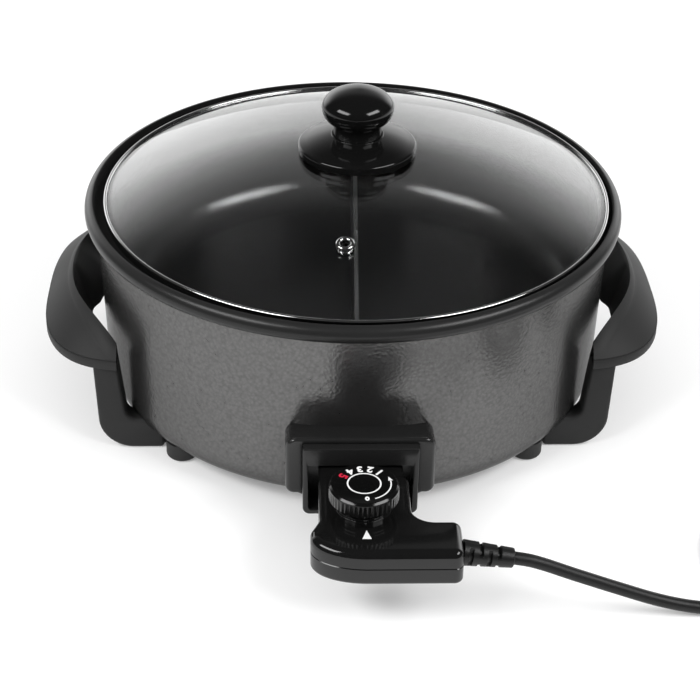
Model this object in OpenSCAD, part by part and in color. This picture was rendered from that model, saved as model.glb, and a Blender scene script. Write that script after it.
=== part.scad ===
// Round electric skillet: a non-stick pot in a pebbled casing, side handles with legs,
// a lift-off glass lid, a divider plate and a plug-in thermostat on a mains cord.
// Millimetres, +Z up, table at z = 0, front at -Y. Pieces are drawn about the pan's axis
// and at_pan() moves them so that the origin is the middle of the whole footprint.

/* [Pan] */
// Height of the rim above the table
rim_z = 130; // [115:1:150]
// Outer radius of the rolled rim
rim_r = 160; // [158:1:170]
// Height of the rolled rim
rim_h = 7.5; // [6.5:0.5:10]
// Rounding of the rim's outer top edge
rim_round = 5.5; // [3:0.5:6]
// Depth of the lid's seat below the rim
seat_drop = 6; // [5:0.5:8]
// Inner radius of the pot
pot_r = 145; // [135:1:147]
// Inner depth of the pot
pot_depth = 78; // [60:1:85]
// Thickness of the pot's wall
pot_wall = 2.5; // [1.5:0.1:3]
// Thickness of the pot's floor
pot_floor = 4; // [3:0.5:6]
// Radius between the pot's wall and floor
pot_corner = 25; // [10:1:40]
// Radius of the casing under the rim
casing_top_r = 153.5; // [152.5:0.1:155]
// Radius of the casing above its bottom corner
casing_low_r = 150.6; // [150:0.1:152]
// Height of the casing's bottom above the table
casing_z = 7.3; // [6:0.1:10]
// Radius of the casing's bottom corner
casing_corner = 19.5; // [15:0.5:22]
// Thickness of the casing's sheet
casing_wall = 1.5; // [0.8:0.1:1.8]

/* [Base] */
// Radius of the opening in the casing's bottom
base_hole_r = 104; // [95:1:106]
// Width of the base plate's overlap on the casing
base_lap = 8; // [6:0.5:9]
// Thickness of the base plate
base_t = 1.5; // [1:0.1:2]
// Radius of a base screw
base_screw_r = 1.5; // [1.2:0.1:1.8]
// Radius of a rubber foot
foot_r = 9.5; // [7:0.5:9.5]
// Distance of the feet from the centre line, across
foot_x = 102; // [100:0.5:102]
// Distance of the feet from the centre line, front to back
foot_y = 89; // [89:0.5:90]
// Radius of a foot's push-in stem
foot_stem_r = 3; // [2:0.1:3.5]

/* [Heater] */
// Radius of the element's ring
element_ring_r = 95; // [70:1:110]
// Radius of the element's tube
element_r = 4; // [3:0.1:4.5]
// Radius of the bends at the element's ends
element_bend = 15; // [10:1:20]
// Distance of each terminal pin from the centre line
pin_x = 14; // [12:0.5:16]
// Radius of a terminal pin
pin_r = 3; // [2:0.1:3.2]
// Thickness of the heat spreader
spreader_t = 1; // [0.5:0.1:2]
// Thickness of the clamp plate under the element
clamp_t = 1.5; // [1:0.1:3]

/* [Handles] */
// Gap between the casing and the grip's inner wall
grip_gap = 1; // [1:0.5:4]
// Width of the grip's inner slope
grip_rise_w = 14.5; // [10:0.5:20]
// Width of the grip's outer apron
grip_apron_w = 17; // [12:0.5:24]
// Height of the grip's lower edge
grip_z = 56; // [45:0.5:65]
// Height of the upright lip along the apron
grip_lip = 6.7; // [4:0.1:9]
// Height of the grip's crest above its lower edge
grip_h = 25; // [18:0.5:32]
// How far the crest drops at its ends
grip_drop = 11; // [6:0.5:12]
// Wall of the hollow grip
grip_wall = 3; // [2:0.1:4]
// Distance from the centre line to the inner side of a leg
leg_y = 69.2; // [69:0.1:69.5]
// Depth of a leg, front to back
leg_d = 13.6; // [12:0.1:16]
// Width of a leg
leg_w = 14; // [11:0.5:16]
// Height of the arm that turns under the pan
arm_h = 20; // [16:0.5:24]
// Outer radius between leg and arm
leg_corner = 20; // [12:0.5:22]
// How far a leg leans in from its top to its arm
leg_lean = 4; // [2:0.5:5]

/* [Lid] */
// Gap between the lid's bright band and the rim
lid_gap = 3.8; // [3:0.1:6]
// How far the loose lid rests off the pan's axis, to the right
lid_x = 1.8; // [0:0.1:2]
// Height of the bright band
band_h = 5.2; // [4.5:0.1:6]
// Thickness of the glass
glass_t = 4; // [3:0.1:4]
// Rise of the dome from the band to its top
dome_h = 28.5; // [20:0.5:40]
// Radius of the knob's base disc
knob_base_r = 35; // [25:0.5:45]
// Thickness of the knob's base disc at its edge
knob_base_t = 5.3; // [3:0.1:7]
// Radius of the knob's neck
knob_neck_r = 14.5; // [10:0.5:18]
// Rise of the base disc from its edge to the knob's neck
knob_dome = 5.5; // [1:0.5:8]
// Length of the knob's neck
knob_neck_h = 8.5; // [6:0.5:20]
// Radius of the knob's head
knob_head_r = 21.2; // [19:0.1:30]
// Height of the head below its widest circle
knob_under_h = 9; // [8:0.1:16]
// Height of the head above its widest circle
knob_over_h = 10.9; // [8:0.1:20]
// Distance of the steam vent in front of the axis
vent_y = 97; // [60:1:115]
// Distance of the steam vent to the left of the axis
vent_x = 9.5; // [0:0.5:12]
// Radius of the vent's flange
vent_r = 5.5; // [4:0.1:7]
// Radius of the vent's hole
vent_hole_r = 2.7; // [1.5:0.1:3]

/* [Divider] */
// Thickness of the divider plate
divider_t = 2.5; // [1.5:0.1:4]
// Gap between the divider and the pot
divider_gap = 0.5; // [0.3:0.1:1]
// How far the loose divider stands off the pot's axis, to the right
divider_x = 1.3; // [0:0.1:2]
// How far the loose divider is turned about the upright axis, in degrees
divider_turn = -1.5; // [-2:0.1:2]

/* [Socket] */
// Half width of the outer shroud
shroud_x = 41; // [38:0.5:48]
// Reach of the shroud in front of the casing
shroud_d = 14.5; // [12:0.5:18]
// Top of the shroud above the pins' axis
shroud_up = 23; // [21:0.5:28]
// Lower end of the shroud's columns below the pins' axis
shroud_down = 14; // [11:0.5:18]
// Slope of the shroud's roof, which falls towards the casing, in degrees
roof_fall = 11.5; // [0:0.5:14]
// Half width of the inner guard
guard_x = 31.5; // [31:0.1:34]
// Reach of the guard in front of the casing
guard_d = 21.5; // [20:0.5:28]
// Bottom of the guard below the pins' axis
guard_down = 22.7; // [16:0.1:26]
// Thickness of the guard's walls
guard_wall = 3; // [2:0.1:4]

/* [Controller] */
// Length of the case, front to back
case_l = 91; // [86:0.5:100]
// Height of the case
case_h = 18.6; // [17:0.1:20]
// Height of the lower case
lower_case_h = 7.6; // [6:0.1:8.5]
// Wall of the case
case_wall = 2; // [1.5:0.1:2.2]
// Half width of the neck
neck_x = 24.5; // [23:0.5:26]
// Reach of the case to the right
case_right = 50.5; // [45:0.5:60]
// Reach of the case to the left
case_left = 28; // [27:0.1:32]
// Depth of the right-hand arm of the case
case_arm_d = 29; // [22:0.5:30]
// Distance of the dial from the end of the neck
dial_in = 55; // [48:0.5:60]
// Radius of the dial
dial_r = 18.4; // [14:0.1:22]
// Height of the dial's knurled side
dial_h = 9.4; // [7:0.1:12]
// Height of the collar under the dial
collar_h = 8.2; // [5:0.1:10]
// Radius of the collar
collar_r = 14.2; // [9:0.1:15]
// Radius of the dial's shaft
shaft_r = 3; // [2:0.1:4]
// Radius of the thermostat probe
probe_r = 2.9; // [2:0.1:3]
// Length of the probe beyond the case
probe_l = 98; // [60:1:110]

/* [Cord] */
// Diameter of the cord
cord_d = 7; // [6:0.1:8]
// Radius of the strain relief at the case
boot_r = 6.9; // [6:0.1:7.5]
// Radius of the strain relief at its tip
boot_tip_r = 5.2; // [4.5:0.1:6]
// Radius of the plug's face
plug_r = 19; // [17:0.5:21]
// Length of the plug's body
plug_l = 48; // [40:1:60]

/* [Hidden] */
$fn = 96;

// Clearances
seat_gap = 0.3; // lid band over its seat, dial over its collar
running_gap = 0.05; // dial shaft in its bearing
slide_gap = 0.1; // terminal pins in their receptacles
probe_gap = 0.4; // probe in its tube
plug_gap = 2; // end of the controller's neck before the guard's back wall
neck_gap = 0.4; // top of the controller's neck under the guard
fit_gap = 0.1; // moulded pieces against the casing
eps = 0.01; // overlap of pieces that are one solid
through = 40; // length of a cut that goes right through

// Heights worked out from the driving sizes
back_wall_t = 3.5; // guard's back wall in front of the casing
back_wall_y = casing_top_r + back_wall_t;
neck_end_y = back_wall_y + plug_gap;
case_front = neck_end_y + case_l;
dial_y = neck_end_y + dial_in;
pan_y = (case_front - rim_r) / 2;
seat_z = rim_z - seat_drop;
floor_z = rim_z - pot_depth;
pot_under_z = floor_z - pot_floor;
casing_top_z = rim_z - rim_h;
casing_in_r = casing_top_r - casing_wall;
spreader_z = pot_under_z - spreader_t;
element_z = spreader_z - element_r;
case_z = element_z;
tube_r = probe_r + probe_gap;
tube_wall = 0.7;
probe_z = spreader_z - tube_r - tube_wall;
base_plate_r = base_hole_r + base_lap;

module at_pan() { translate([0, pan_y, 0]) children(); }
module at_lid() { translate([lid_x, pan_y, 0]) children(); }
module sides() { children(); mirror([1, 0, 0]) children(); }
module front_rear() { children(); mirror([0, 1, 0]) children(); }
module lying(x, y, z) { translate([x, y, z]) rotate([90, 0, 0]) children(); }

// Points of an elliptic arc about [cx, cy] from angle a0 to a1
function arc(cx, cy, rx, ry, a0, a1, n = 10) =
    [for (i = [0:n]) let (a = a0 + (a1 - a0) * i / n) [cx + rx * cos(a), cy + ry * sin(a)]];

// The casing's outline from the axis at its bottom to its top edge, grown by g
function casing_outline(g) = concat(
    [[0, casing_z - g]],
    arc(casing_low_r - casing_corner, casing_z + casing_corner,
        casing_corner + g, casing_corner + g, -90, 0),
    [[casing_top_r + g, casing_top_z]]
);
module casing_solid(g) {
    rotate_extrude($fn = 180) polygon(concat(casing_outline(g), [[0, casing_top_z]]));
}
// Height of the casing's inside at radius r, over its flat bottom and its corner
function casing_floor(r) = casing_z + casing_corner
    - sqrt(pow(casing_corner - casing_wall, 2) - pow(max(0, r - casing_low_r + casing_corner), 2));

// Pot with its lid seat and rolled rim
module cooking_pot() {
    corner_r = pot_r - pot_corner;
    corner_z = floor_z + pot_corner;
    skirt_r = casing_in_r - seat_gap;
    color("#1b1b1c") at_pan() rotate_extrude($fn = 180) polygon(concat(
        [[0, floor_z]],
        arc(corner_r, corner_z, pot_corner, pot_corner, -90, 0),
        [[pot_r, seat_z], [rim_r - rim_round, seat_z]],
        arc(rim_r - rim_round, rim_z - rim_round, rim_round, rim_round, 90, 0, 6),
        [[rim_r, casing_top_z], [skirt_r, casing_top_z], [skirt_r, seat_z - pot_wall]],
        [[pot_r + pot_wall, seat_z - pot_wall]],
        arc(corner_r, corner_z, pot_corner + pot_wall, pot_corner + pot_floor, 0, -90),
        [[0, pot_under_z]]
    ));
}

// Casing
window_edge = 5; // sheet left behind the guard's back wall
window_x = guard_x - guard_wall - window_edge;
window_h = case_h - 2;
module casing() {
    color("#6e6f70") at_pan() difference() {
        casing_solid(0);
        rotate_extrude($fn = 180) polygon(concat(
            casing_outline(-casing_wall),
            [[casing_in_r, casing_top_z + 1], [0, casing_top_z + 1]]
        ));
        translate([0, 0, casing_z - 1]) cylinder(r = base_hole_r, h = casing_wall + 2, $fn = 180);
        translate([-window_x, -casing_top_r - 5, case_z - window_h / 2])
            cube([2 * window_x, through, window_h]);
        base_screw_places() cylinder(r = base_screw_r, h = through);
        foot_places() cylinder(r = foot_stem_r, h = through);
        handle_screw_places() cylinder(r = handle_screw_r, h = through);
        socket_screw_places() cylinder(r = socket_screw_r, h = through);
    }
}

// Base plate and its screws
module base_screw_places() {
    for (a = [0:90:270]) rotate(a) translate([base_hole_r + base_lap / 2, 0, 0]) children();
}
module base_plate() {
    color("#8d8f91") at_pan() difference() {
        translate([0, 0, casing_z - base_t]) cylinder(r = base_plate_r, h = base_t, $fn = 180);
        base_screw_places() cylinder(r = base_screw_r, h = through);
    }
}
base_screw_head = 1.4;
base_screw_l = 6; // beyond the base plate
module base_screws() {
    color("#b0b2b4") at_pan() base_screw_places() {
        translate([0, 0, casing_z - base_t - base_screw_head])
            cylinder(r = 1.9 * base_screw_r, h = base_screw_head);
        translate([0, 0, casing_z - base_t - eps]) cylinder(r = base_screw_r, h = base_t + base_screw_l);
    }
}

// Push-in rubber feet: the top follows the casing, a bulb holds the stem inside
foot_round = 2.5;
bulb_r = foot_stem_r + 1.5;
bulb_h = 2;
bulb_z = casing_floor(norm([foot_x, foot_y]) + bulb_r);
module foot_places() { sides() front_rear() translate([foot_x, foot_y, 0]) children(); }
module feet() {
    color("#1f1f20") at_pan() {
        difference() {
            foot_places() rotate_extrude($fn = 48) polygon(concat(
                [[0, 0]],
                arc(foot_r - foot_round, foot_round, foot_round, foot_round, -90, 0, 5),
                [[foot_r, bulb_z], [0, bulb_z]]
            ));
            casing_solid(fit_gap);
        }
        foot_places() translate([0, 0, foot_round]) cylinder(r = foot_stem_r, h = bulb_z - foot_round);
        foot_places() translate([0, 0, bulb_z - eps]) cylinder(r = bulb_r, h = bulb_h);
    }
}

// Heating element: a ring whose two ends bend out to the front, swept as one tube
bend_x = pin_x + element_bend;
bend_y = -sqrt(pow(element_ring_r + element_bend, 2) - pow(bend_x, 2));
bend_a = atan2(-bend_y, bend_x);
pin_inset = 8.6; // pins' inner ends behind the casing's face
pin_start = pin_inset - casing_low_r;
element_half = concat(
    [[pin_x, pin_start], [pin_x, (pin_start + bend_y) / 2]],
    arc(bend_x, bend_y, element_bend, element_bend, 180, 180 - bend_a, 6),
    arc(0, 0, element_ring_r, element_ring_r, 6 - bend_a, 90, 22)
);
element_path = concat(element_half,
    [for (i = [len(element_half) - 2:-1:0]) [-element_half[i][0], element_half[i][1]]]);
module heating_element() {
    color("#77736d") at_pan() tube([for (p = element_path) [p[0], p[1], element_z]], element_r);
}
spreader_edge = 15; // spreader beyond the element's ring
spreader_r = element_ring_r + spreader_edge;
module heat_spreader() {
    color("#c3c5c7") at_pan() translate([0, 0, spreader_z]) difference() {
        cylinder(r = spreader_r, h = spreader_t, $fn = 120);
        translate([0, 0, -1]) cylinder(r = stud_r, h = spreader_t + 2);
    }
}
stud_r = 3;
clamp_z = element_z - element_r - clamp_t;
clamp_in_r = element_ring_r - 12;
clamp_out_r = element_ring_r + 6;
clamp_bar_w = 16;
module element_clamp() {
    color("#9fa1a3") at_pan() difference() {
        union() {
            translate([0, 0, clamp_z]) difference() {
                cylinder(r = clamp_out_r, h = clamp_t, $fn = 120);
                translate([0, 0, -1]) cylinder(r = clamp_in_r, h = clamp_t + 2, $fn = 120);
            }
            for (a = [45, 135]) rotate(a) translate([-clamp_in_r - 2, -clamp_bar_w / 2, clamp_z])
                cube([2 * clamp_in_r + 4, clamp_bar_w, clamp_t]);
        }
        translate([0, 0, clamp_z - 1]) cylinder(r = stud_r, h = clamp_t + 2);
    }
}
nut_h = 4;
module clamp_nut() {
    color("#b0b2b4") at_pan() {
        translate([0, 0, clamp_z - nut_h]) cylinder(r = 2 * stud_r, h = nut_h, $fn = 6);
        translate([0, 0, clamp_z - nut_h - 2]) cylinder(r = stud_r, h = pot_under_z - clamp_z + nut_h + 2);
    }
}

// Terminal pins, ceramic bushes and earth pin
guard_y = casing_top_r + guard_d;
shroud_y = casing_top_r + shroud_d;
pin_tip = guard_y + 3; // pins stand a little out of the guard
module terminal_pins() {
    color("#b8953f") at_pan() sides()
        lying(pin_x, pin_start, case_z) cylinder(r = pin_r, h = pin_tip + pin_start);
}
bush_r = pin_r + 3;
bush_start = pin_start - 2;
module terminal_bushes() {
    color("#e6e1d6") at_pan() sides() lying(pin_x, bush_start, case_z) difference() {
        cylinder(r = bush_r, h = back_wall_y + bush_start);
        translate([0, 0, -1]) cylinder(r = pin_r, h = through);
    }
}
earth_x = pin_x / 2;
earth_drop = 4.5; // below the terminal pins
earth_z = case_z - earth_drop;
earth_r = 1.5;
earth_in = 4; // behind the guard's back wall
module earth_pin() {
    color("#b8953f") at_pan()
        lying(earth_x, earth_in - back_wall_y, earth_z) cylinder(r = earth_r, h = pin_tip - back_wall_y);
}
tube_cap = 2;
tube_start = probe_l - neck_end_y + 2 * tube_cap;
tube_back = 3; // front end behind the guard's back wall
tube_l = back_wall_y - tube_back + tube_start;
module probe_tube() {
    color("#a7a9ab") at_pan() lying(0, tube_start, probe_z) difference() {
        cylinder(r = tube_r + tube_wall, h = tube_l);
        translate([0, 0, tube_cap]) cylinder(r = tube_r, h = tube_l);
    }
}

// Socket: an outer shroud on the casing and an inner guard, a closed frame round the pins
socket_root = 20; // depth of socket stock that is cut to the casing's curve
guard_round = 4;
shroud_top = case_z + shroud_up;
shroud_low = case_z - shroud_down;
shroud_roof = 2; // guard's front edge below the shroud's
guard_top = shroud_top - shroud_roof;
guard_low = case_z - guard_down;
bore_start = casing_low_r - socket_root;
bore_l = back_wall_y - bore_start + 1;
guard_open = case_z + case_h / 2 + neck_gap;
// A block across the socket, from its front face back into the casing, under the sloping roof
module under_roof(half_x, front, low, top) {
    roof_back = top - (front - bore_start) * tan(roof_fall);
    rotate([90, 0, 90]) translate([0, 0, -half_x]) linear_extrude(2 * half_x)
        polygon([[-front, low], [-bore_start, low], [-bore_start, roof_back], [-front, top]]);
}
module socket_shroud() {
    color("#1d1d1e") at_pan() difference() {
        under_roof(shroud_x, shroud_y, shroud_low, shroud_top);
        under_roof(guard_x + fit_gap, guard_y, shroud_low - 1, guard_top + fit_gap);
        casing_solid(fit_gap);
        socket_screw_places() cylinder(r = socket_screw_r, h = socket_screw_l + 2);
    }
}
module socket_guard() {
    inner_x = guard_x - guard_wall;
    guard_l = guard_y - bore_start;
    color("#19191a") at_pan() difference() {
        intersection() {
            lying(0, 1 - bore_start, 0) linear_extrude(guard_l + 2) polygon(concat(
                [[-guard_x, guard_top + 1]],
                arc(guard_round - guard_x, guard_low + guard_round, guard_round, guard_round, 180, 270, 5),
                arc(guard_x - guard_round, guard_low + guard_round, guard_round, guard_round, 270, 360, 5),
                [[guard_x, guard_top + 1]]
            ));
            under_roof(guard_x + 1, guard_y, guard_low - 1, guard_top);
        }
        translate([-inner_x, -guard_y - 1, guard_low + guard_wall])
            cube([2 * inner_x, guard_y + 1 - back_wall_y, guard_open - guard_low - guard_wall]);
        casing_solid(fit_gap);
        sides() lying(pin_x, -bore_start, case_z) cylinder(r = bush_r, h = bore_l);
        lying(0, -bore_start, probe_z) cylinder(r = tube_r + tube_wall, h = bore_l);
        lying(earth_x, -bore_start, earth_z) cylinder(r = earth_r, h = bore_l);
    }
}
socket_screw_r = 1.7;
socket_screw_x = (shroud_x + guard_x) / 2;
socket_screw_in = 2.2; // head's face off the casing's inside
socket_screw_l = shroud_d + 5.5;
socket_screw_low = 10; // above the shroud's lower end
socket_screw_high = 8; // below the shroud's top
socket_head_y = sqrt(pow(casing_low_r - casing_wall, 2) - pow(socket_screw_x, 2)) - socket_screw_in;
socket_screw_heights = [shroud_low + socket_screw_low, shroud_top - socket_screw_high];
module socket_screw_places() {
    for (z = socket_screw_heights) sides() lying(socket_screw_x, -socket_head_y, z) children();
}
module socket_screws() {
    color("#b0b2b4") at_pan() socket_screw_places() {
        cylinder(r = socket_screw_r, h = socket_screw_l);
        translate([0, 0, -2]) cylinder(r = 2 * socket_screw_r, h = 2 + eps);
    }
}

// Handle: a hollow grip swept between three level curves, on a front and a rear leg
grip_in_x = casing_top_r + grip_gap;
grip_crest_x = grip_in_x + grip_rise_w;
grip_out_x = grip_crest_x + grip_apron_w;
curve_in = 33.5; // middle of the level curves behind the grip's inner wall
leg_in = 16; // legs stand partly under the pan
grip_root_x = grip_in_x - curve_in;
leg_in_x = grip_in_x - leg_in;
leg_out_x = leg_in_x + leg_w;
leg_front = leg_y + leg_d;
lip_over = 3.4; // lip beyond the legs
crest_short = 5.8; // crest ends before the legs' faces
grip_out_y = leg_front + lip_over;
crest_y = leg_front - crest_short;
grip_in_y = leg_y + 2.8;
lip_power = 2.9;
inner_power = 3.5;
lip_spacing = 1.35;
crest_z = grip_z + grip_h;
// A superellipse about [grip_root_x, 0] that ends at x = leg_in_x, where u is -1 or 1
function level_curve(u, reach, half, power) = let (
    w = reach - grip_root_x,
    t = u * acos(pow((leg_in_x - grip_root_x) / w, power / 2))
) [grip_root_x + w * pow(cos(t), 2 / power), half * sign(u) * pow(abs(sin(t)), 2 / power)];
function ease(u) = sign(u) * pow(abs(u), lip_spacing);
function lip_at(u, inset) = level_curve(ease(u), grip_out_x - inset, grip_out_y - inset, lip_power);
function inner_at(u, inset) = level_curve(u, grip_in_x + inset, grip_in_y + inset, inner_power);
function crest_at(u) = [grip_crest_x - (grip_crest_x - leg_in_x) * u * u, crest_y * u];
function lifted(p, z) = [p[0], p[1], z];
shoulder_share = 0.12;
brow_share = 0.1;
crown_drop = 1;
function grip_ring(u) = let (
    top = crest_z - grip_drop * pow(u, 6), crest = crest_at(u),
    lip = lip_at(u, 0), inner = inner_at(u, 0),
    lip_in = lip_at(u, grip_wall), inner_in = inner_at(u, grip_wall),
    shoulder = lip * shoulder_share + crest * (1 - shoulder_share),
    brow = inner * brow_share + crest * (1 - brow_share),
    roof = top - crown_drop - grip_wall
) [
    lifted(lip, grip_z), lifted(lip, grip_z + grip_lip), lifted(shoulder, top - crown_drop),
    lifted(crest, top), lifted(brow, top - crown_drop), lifted(inner, grip_z),
    lifted(inner_in, grip_z), lifted(brow, roof), lifted(shoulder, roof),
    lifted(lip_in, grip_z + grip_lip - grip_wall / 2), lifted(lip_in, grip_z)
];
grip_steps = 36;
grip_shares = [for (i = [0:grip_steps]) 2 * i / grip_steps - 1];
// The flat end of the grip, between its outer and inner points
end_faces = [[0, 1, 9, 10], [1, 2, 8, 9], [2, 3, 4, 7, 8], [4, 5, 6, 7]];
module grip() {
    rings = [for (u = grip_shares) grip_ring(u)];
    n = len(rings[0]);
    polyhedron(
        points = [for (ring = rings) each ring],
        faces = concat(
            [for (face = end_faces) [for (k = [len(face) - 1:-1:0]) face[k]]],
            [for (i = [0:grip_steps - 1], j = [0:n - 1]) let (a = i * n + j, b = i * n + (j + 1) % n)
                each [[a, b, b + n], [a, b + n, a + n]]],
            [for (face = end_faces) [for (j = face) grip_steps * n + j]]
        )
    );
}
module right_grip() { color("#2b2b2c") at_pan() grip(); }
module left_grip() { color("#2b2b2c") at_pan() mirror([1, 0, 0]) grip(); }

// Legs: each turns under the pan as an arm and a screwed tongue; a tenon stands in the hollow grip
handle_screw_r = 2;
handle_screw_x = foot_x + 3;
handle_head_h = 2.2;
handle_nut_r = 2 * handle_screw_r;
arm_end_x = foot_x + foot_r + 1.5;
tongue_end_x = handle_screw_x - 8;
tongue_lift = 1;
tongue_y = foot_y - foot_r - 0.5;
tenon_h = 5;
tenon_x = [3, 4]; // leg left beside the tenon, inner and outer
tenon_y = [4.2, 5];
module leg_outline() {
    low_out = leg_out_x - leg_lean / 2;
    polygon(concat(
        [[leg_in_x, grip_z], [leg_in_x - leg_lean, arm_h], [arm_end_x, arm_h], [arm_end_x, 0]],
        arc(low_out - leg_corner, leg_corner, leg_corner, leg_corner, -90, 0, 8),
        [[leg_out_x, grip_z]]
    ));
}
module legs() {
    difference() {
        front_rear() intersection() {
            translate([0, leg_front, 0]) rotate([90, 0, 0]) linear_extrude(leg_d) leg_outline();
            linear_extrude(grip_z)
                polygon(concat([[0, -leg_front]], [for (u = grip_shares) lip_at(u, 0)], [[0, leg_front]]));
        }
        casing_solid(fit_gap);
    }
    front_rear() translate([leg_in_x + tenon_x[0], leg_y + tenon_y[0], grip_z - 1])
        cube([leg_w - tenon_x[0] - tenon_x[1], leg_d - tenon_y[0] - tenon_y[1], tenon_h + 1]);
    difference() {
        front_rear() translate([tongue_end_x, leg_y, tongue_lift])
            cube([arm_end_x - tongue_end_x + 1, tongue_y - leg_y, casing_z - fit_gap - tongue_lift]);
        handle_screw_places() cylinder(r = handle_screw_r, h = through);
        handle_screw_places() cylinder(r = 1.9 * handle_screw_r, h = tongue_lift + handle_head_h + fit_gap);
    }
}
module right_legs() { color("#2b2b2c") at_pan() legs(); }
module left_legs() { color("#2b2b2c") at_pan() mirror([1, 0, 0]) legs(); }
handle_screw_y = (leg_y + tongue_y) / 2;
module handle_screw_places() {
    sides() front_rear() translate([handle_screw_x, handle_screw_y, 0]) children();
}
module handle_screws() {
    color("#b0b2b4") at_pan() handle_screw_places() {
        translate([0, 0, tongue_lift + fit_gap]) cylinder(r = 1.8 * handle_screw_r, h = handle_head_h);
        translate([0, 0, tongue_lift + handle_head_h]) cylinder(r = handle_screw_r, h = casing_z + 4);
    }
}
module handle_nuts() {
    nut_z = casing_floor(norm([handle_screw_x, handle_screw_y]) + handle_nut_r);
    color("#b0b2b4") at_pan() handle_screw_places() translate([0, 0, nut_z]) difference() {
        cylinder(r = handle_nut_r, h = 3, $fn = 6);
        translate([0, 0, -1]) cylinder(r = handle_screw_r, h = 6);
    }
}

// Divider plate, cut to the pot's cross-section
divider_drop = 0.2; // below the lid's seat
divider_top = seat_z - divider_drop;
module divider() {
    reach = pot_r - divider_gap;
    low = floor_z + divider_gap;
    round_r = pot_corner;
    half = concat(arc(reach - round_r, low + round_r, round_r, round_r, -90, 0), [[reach, divider_top]]);
    color("#77787a") at_pan() translate([divider_x, 0, 0]) rotate([90, 0, 90 + divider_turn])
        translate([0, 0, -divider_t / 2]) linear_extrude(divider_t)
            polygon(concat(half, [for (i = [len(half) - 1:-1:0]) [-half[i][0], half[i][1]]]));
}

// Lid: glass dome in a bright band
band_r = rim_r - rim_round - lid_gap;
band_top = seat_z + seat_gap + band_h;
band_w = 4.1;
glass_edge_r = band_r - 1;
dome_edge_r = band_r - band_w + 0.5;
dome_edge_z = band_top - 0.5;
dome_r = (pow(dome_edge_r, 2) + pow(dome_h, 2)) / (2 * dome_h);
dome_top = dome_edge_z + dome_h;
dome_z = dome_top - dome_r;
function dome_height(r) = dome_z + sqrt(pow(dome_r, 2) - pow(r, 2));
glass_low = seat_z + seat_gap + 0.7;
bolt_r = 2.5;
vent_tube_r = vent_hole_r + 0.9;
module on_dome(x, y) {
    translate([0, 0, dome_z]) rotate([0, 0, atan2(y, x)])
        rotate([0, asin(norm([x, y]) / dome_r), 0]) translate([0, 0, dome_r]) children();
}
module glass_solid() {
    steps = 24;
    top = [for (i = [0:steps]) let (r = glass_edge_r * i / steps) [r, dome_height(r)]];
    rotate_extrude($fn = 180) polygon(concat(
        top, [for (i = [steps:-1:0]) [top[i][0], max(top[i][1] - glass_t, glass_low)]]
    ));
}
module lid_glass() {
    color("#cfd6d8", 0.4) at_lid() difference() {
        glass_solid();
        translate([0, 0, dome_top - 20]) cylinder(r = bolt_r + 1.5, h = through);
        on_dome(-vent_x, -vent_y) translate([0, 0, -20]) cylinder(r = vent_tube_r, h = through);
    }
}
module lid_band() {
    color("#d5d7d9") at_lid() difference() {
        rotate_extrude($fn = 180) polygon([
            [band_r - band_w, seat_z + seat_gap], [band_r, seat_z + seat_gap],
            [band_r, band_top - 0.6], [band_r - 0.6, band_top], [band_r - band_w, band_top]
        ]);
        glass_solid();
    }
}
module vent_eyelet() {
    flange = 0.8;
    color("#c9cbcd") at_lid() on_dome(-vent_x, -vent_y) difference() {
        union() {
            translate([0, 0, 0.1]) cylinder(r = vent_r, h = flange, $fn = 48);
            translate([0, 0, -glass_t - 1.2]) cylinder(r = vent_tube_r, h = glass_t + 1.4, $fn = 48);
            translate([0, 0, -glass_t - 1.2]) cylinder(r = vent_r - 0.6, h = flange, $fn = 48);
        }
        translate([0, 0, -20]) cylinder(r = vent_hole_r, h = through, $fn = 48);
    }
}

// Knob: base disc, neck and head, and the bolt stack under the glass
knob_seat_z = dome_height(knob_base_r);
knob_edge_z = knob_seat_z + knob_base_t;
neck_z = knob_edge_z + knob_dome;
head_low_z = neck_z + knob_neck_h;
head_mid_z = head_low_z + knob_under_h;
// Height of the base disc's top at radius r: a shallow dome that is cut off flat under the neck
function disc_height(r, edge_r) = knob_edge_z
    + knob_dome * (pow(edge_r, 2) - pow(r, 2)) / (pow(edge_r, 2) - pow(knob_neck_r, 2));
module knob_base() {
    edge = 1.2;
    edge_r = knob_base_r - edge;
    steps = 8;
    color("#141415") at_lid() difference() {
        rotate_extrude($fn = 120) polygon(concat(
            [[0, knob_seat_z], [edge_r, knob_seat_z], [knob_base_r, knob_seat_z + edge]],
            arc(edge_r, knob_edge_z - edge, edge, edge, 0, 80, 4),
            [for (i = [0:steps]) let (r = edge_r + (knob_neck_r - edge_r) * i / steps)
                [r, disc_height(r, edge_r)]],
            [[0, neck_z]]
        ));
        glass_solid();
        translate([0, 0, dome_top - 20]) cylinder(r = bolt_r, h = 60);
    }
}
module lid_knob() {
    color("#121213") at_lid() difference() {
        rotate_extrude($fn = 120) polygon(concat(
            [[0, neck_z], [knob_neck_r, neck_z], [knob_neck_r, head_low_z]],
            arc(knob_neck_r, head_mid_z, knob_head_r - knob_neck_r, knob_under_h, -90, 0),
            arc(0, head_mid_z, knob_head_r, knob_over_h, 0, 90, 14)
        ));
        translate([0, 0, neck_z - 1]) cylinder(r = bolt_r, h = bolt_in + 1);
    }
}
bolt_in = 15;
gasket_t = 1;
washer_t = 1.5;
gasket_r = 12;
washer_r = 11;
under_glass = dome_height(gasket_r) - glass_t;
module lid_gasket() {
    color("#3a3a3c") at_lid() translate([0, 0, under_glass - gasket_t]) ring(gasket_r, bolt_r, gasket_t);
}
module knob_washer() {
    color("#b0b2b4") at_lid() translate([0, 0, under_glass - gasket_t - washer_t])
        ring(washer_r, bolt_r, washer_t);
}
module ring(outer, inner, h) {
    difference() {
        cylinder(r = outer, h = h);
        translate([0, 0, -1]) cylinder(r = inner, h = h + 2);
    }
}
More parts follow.
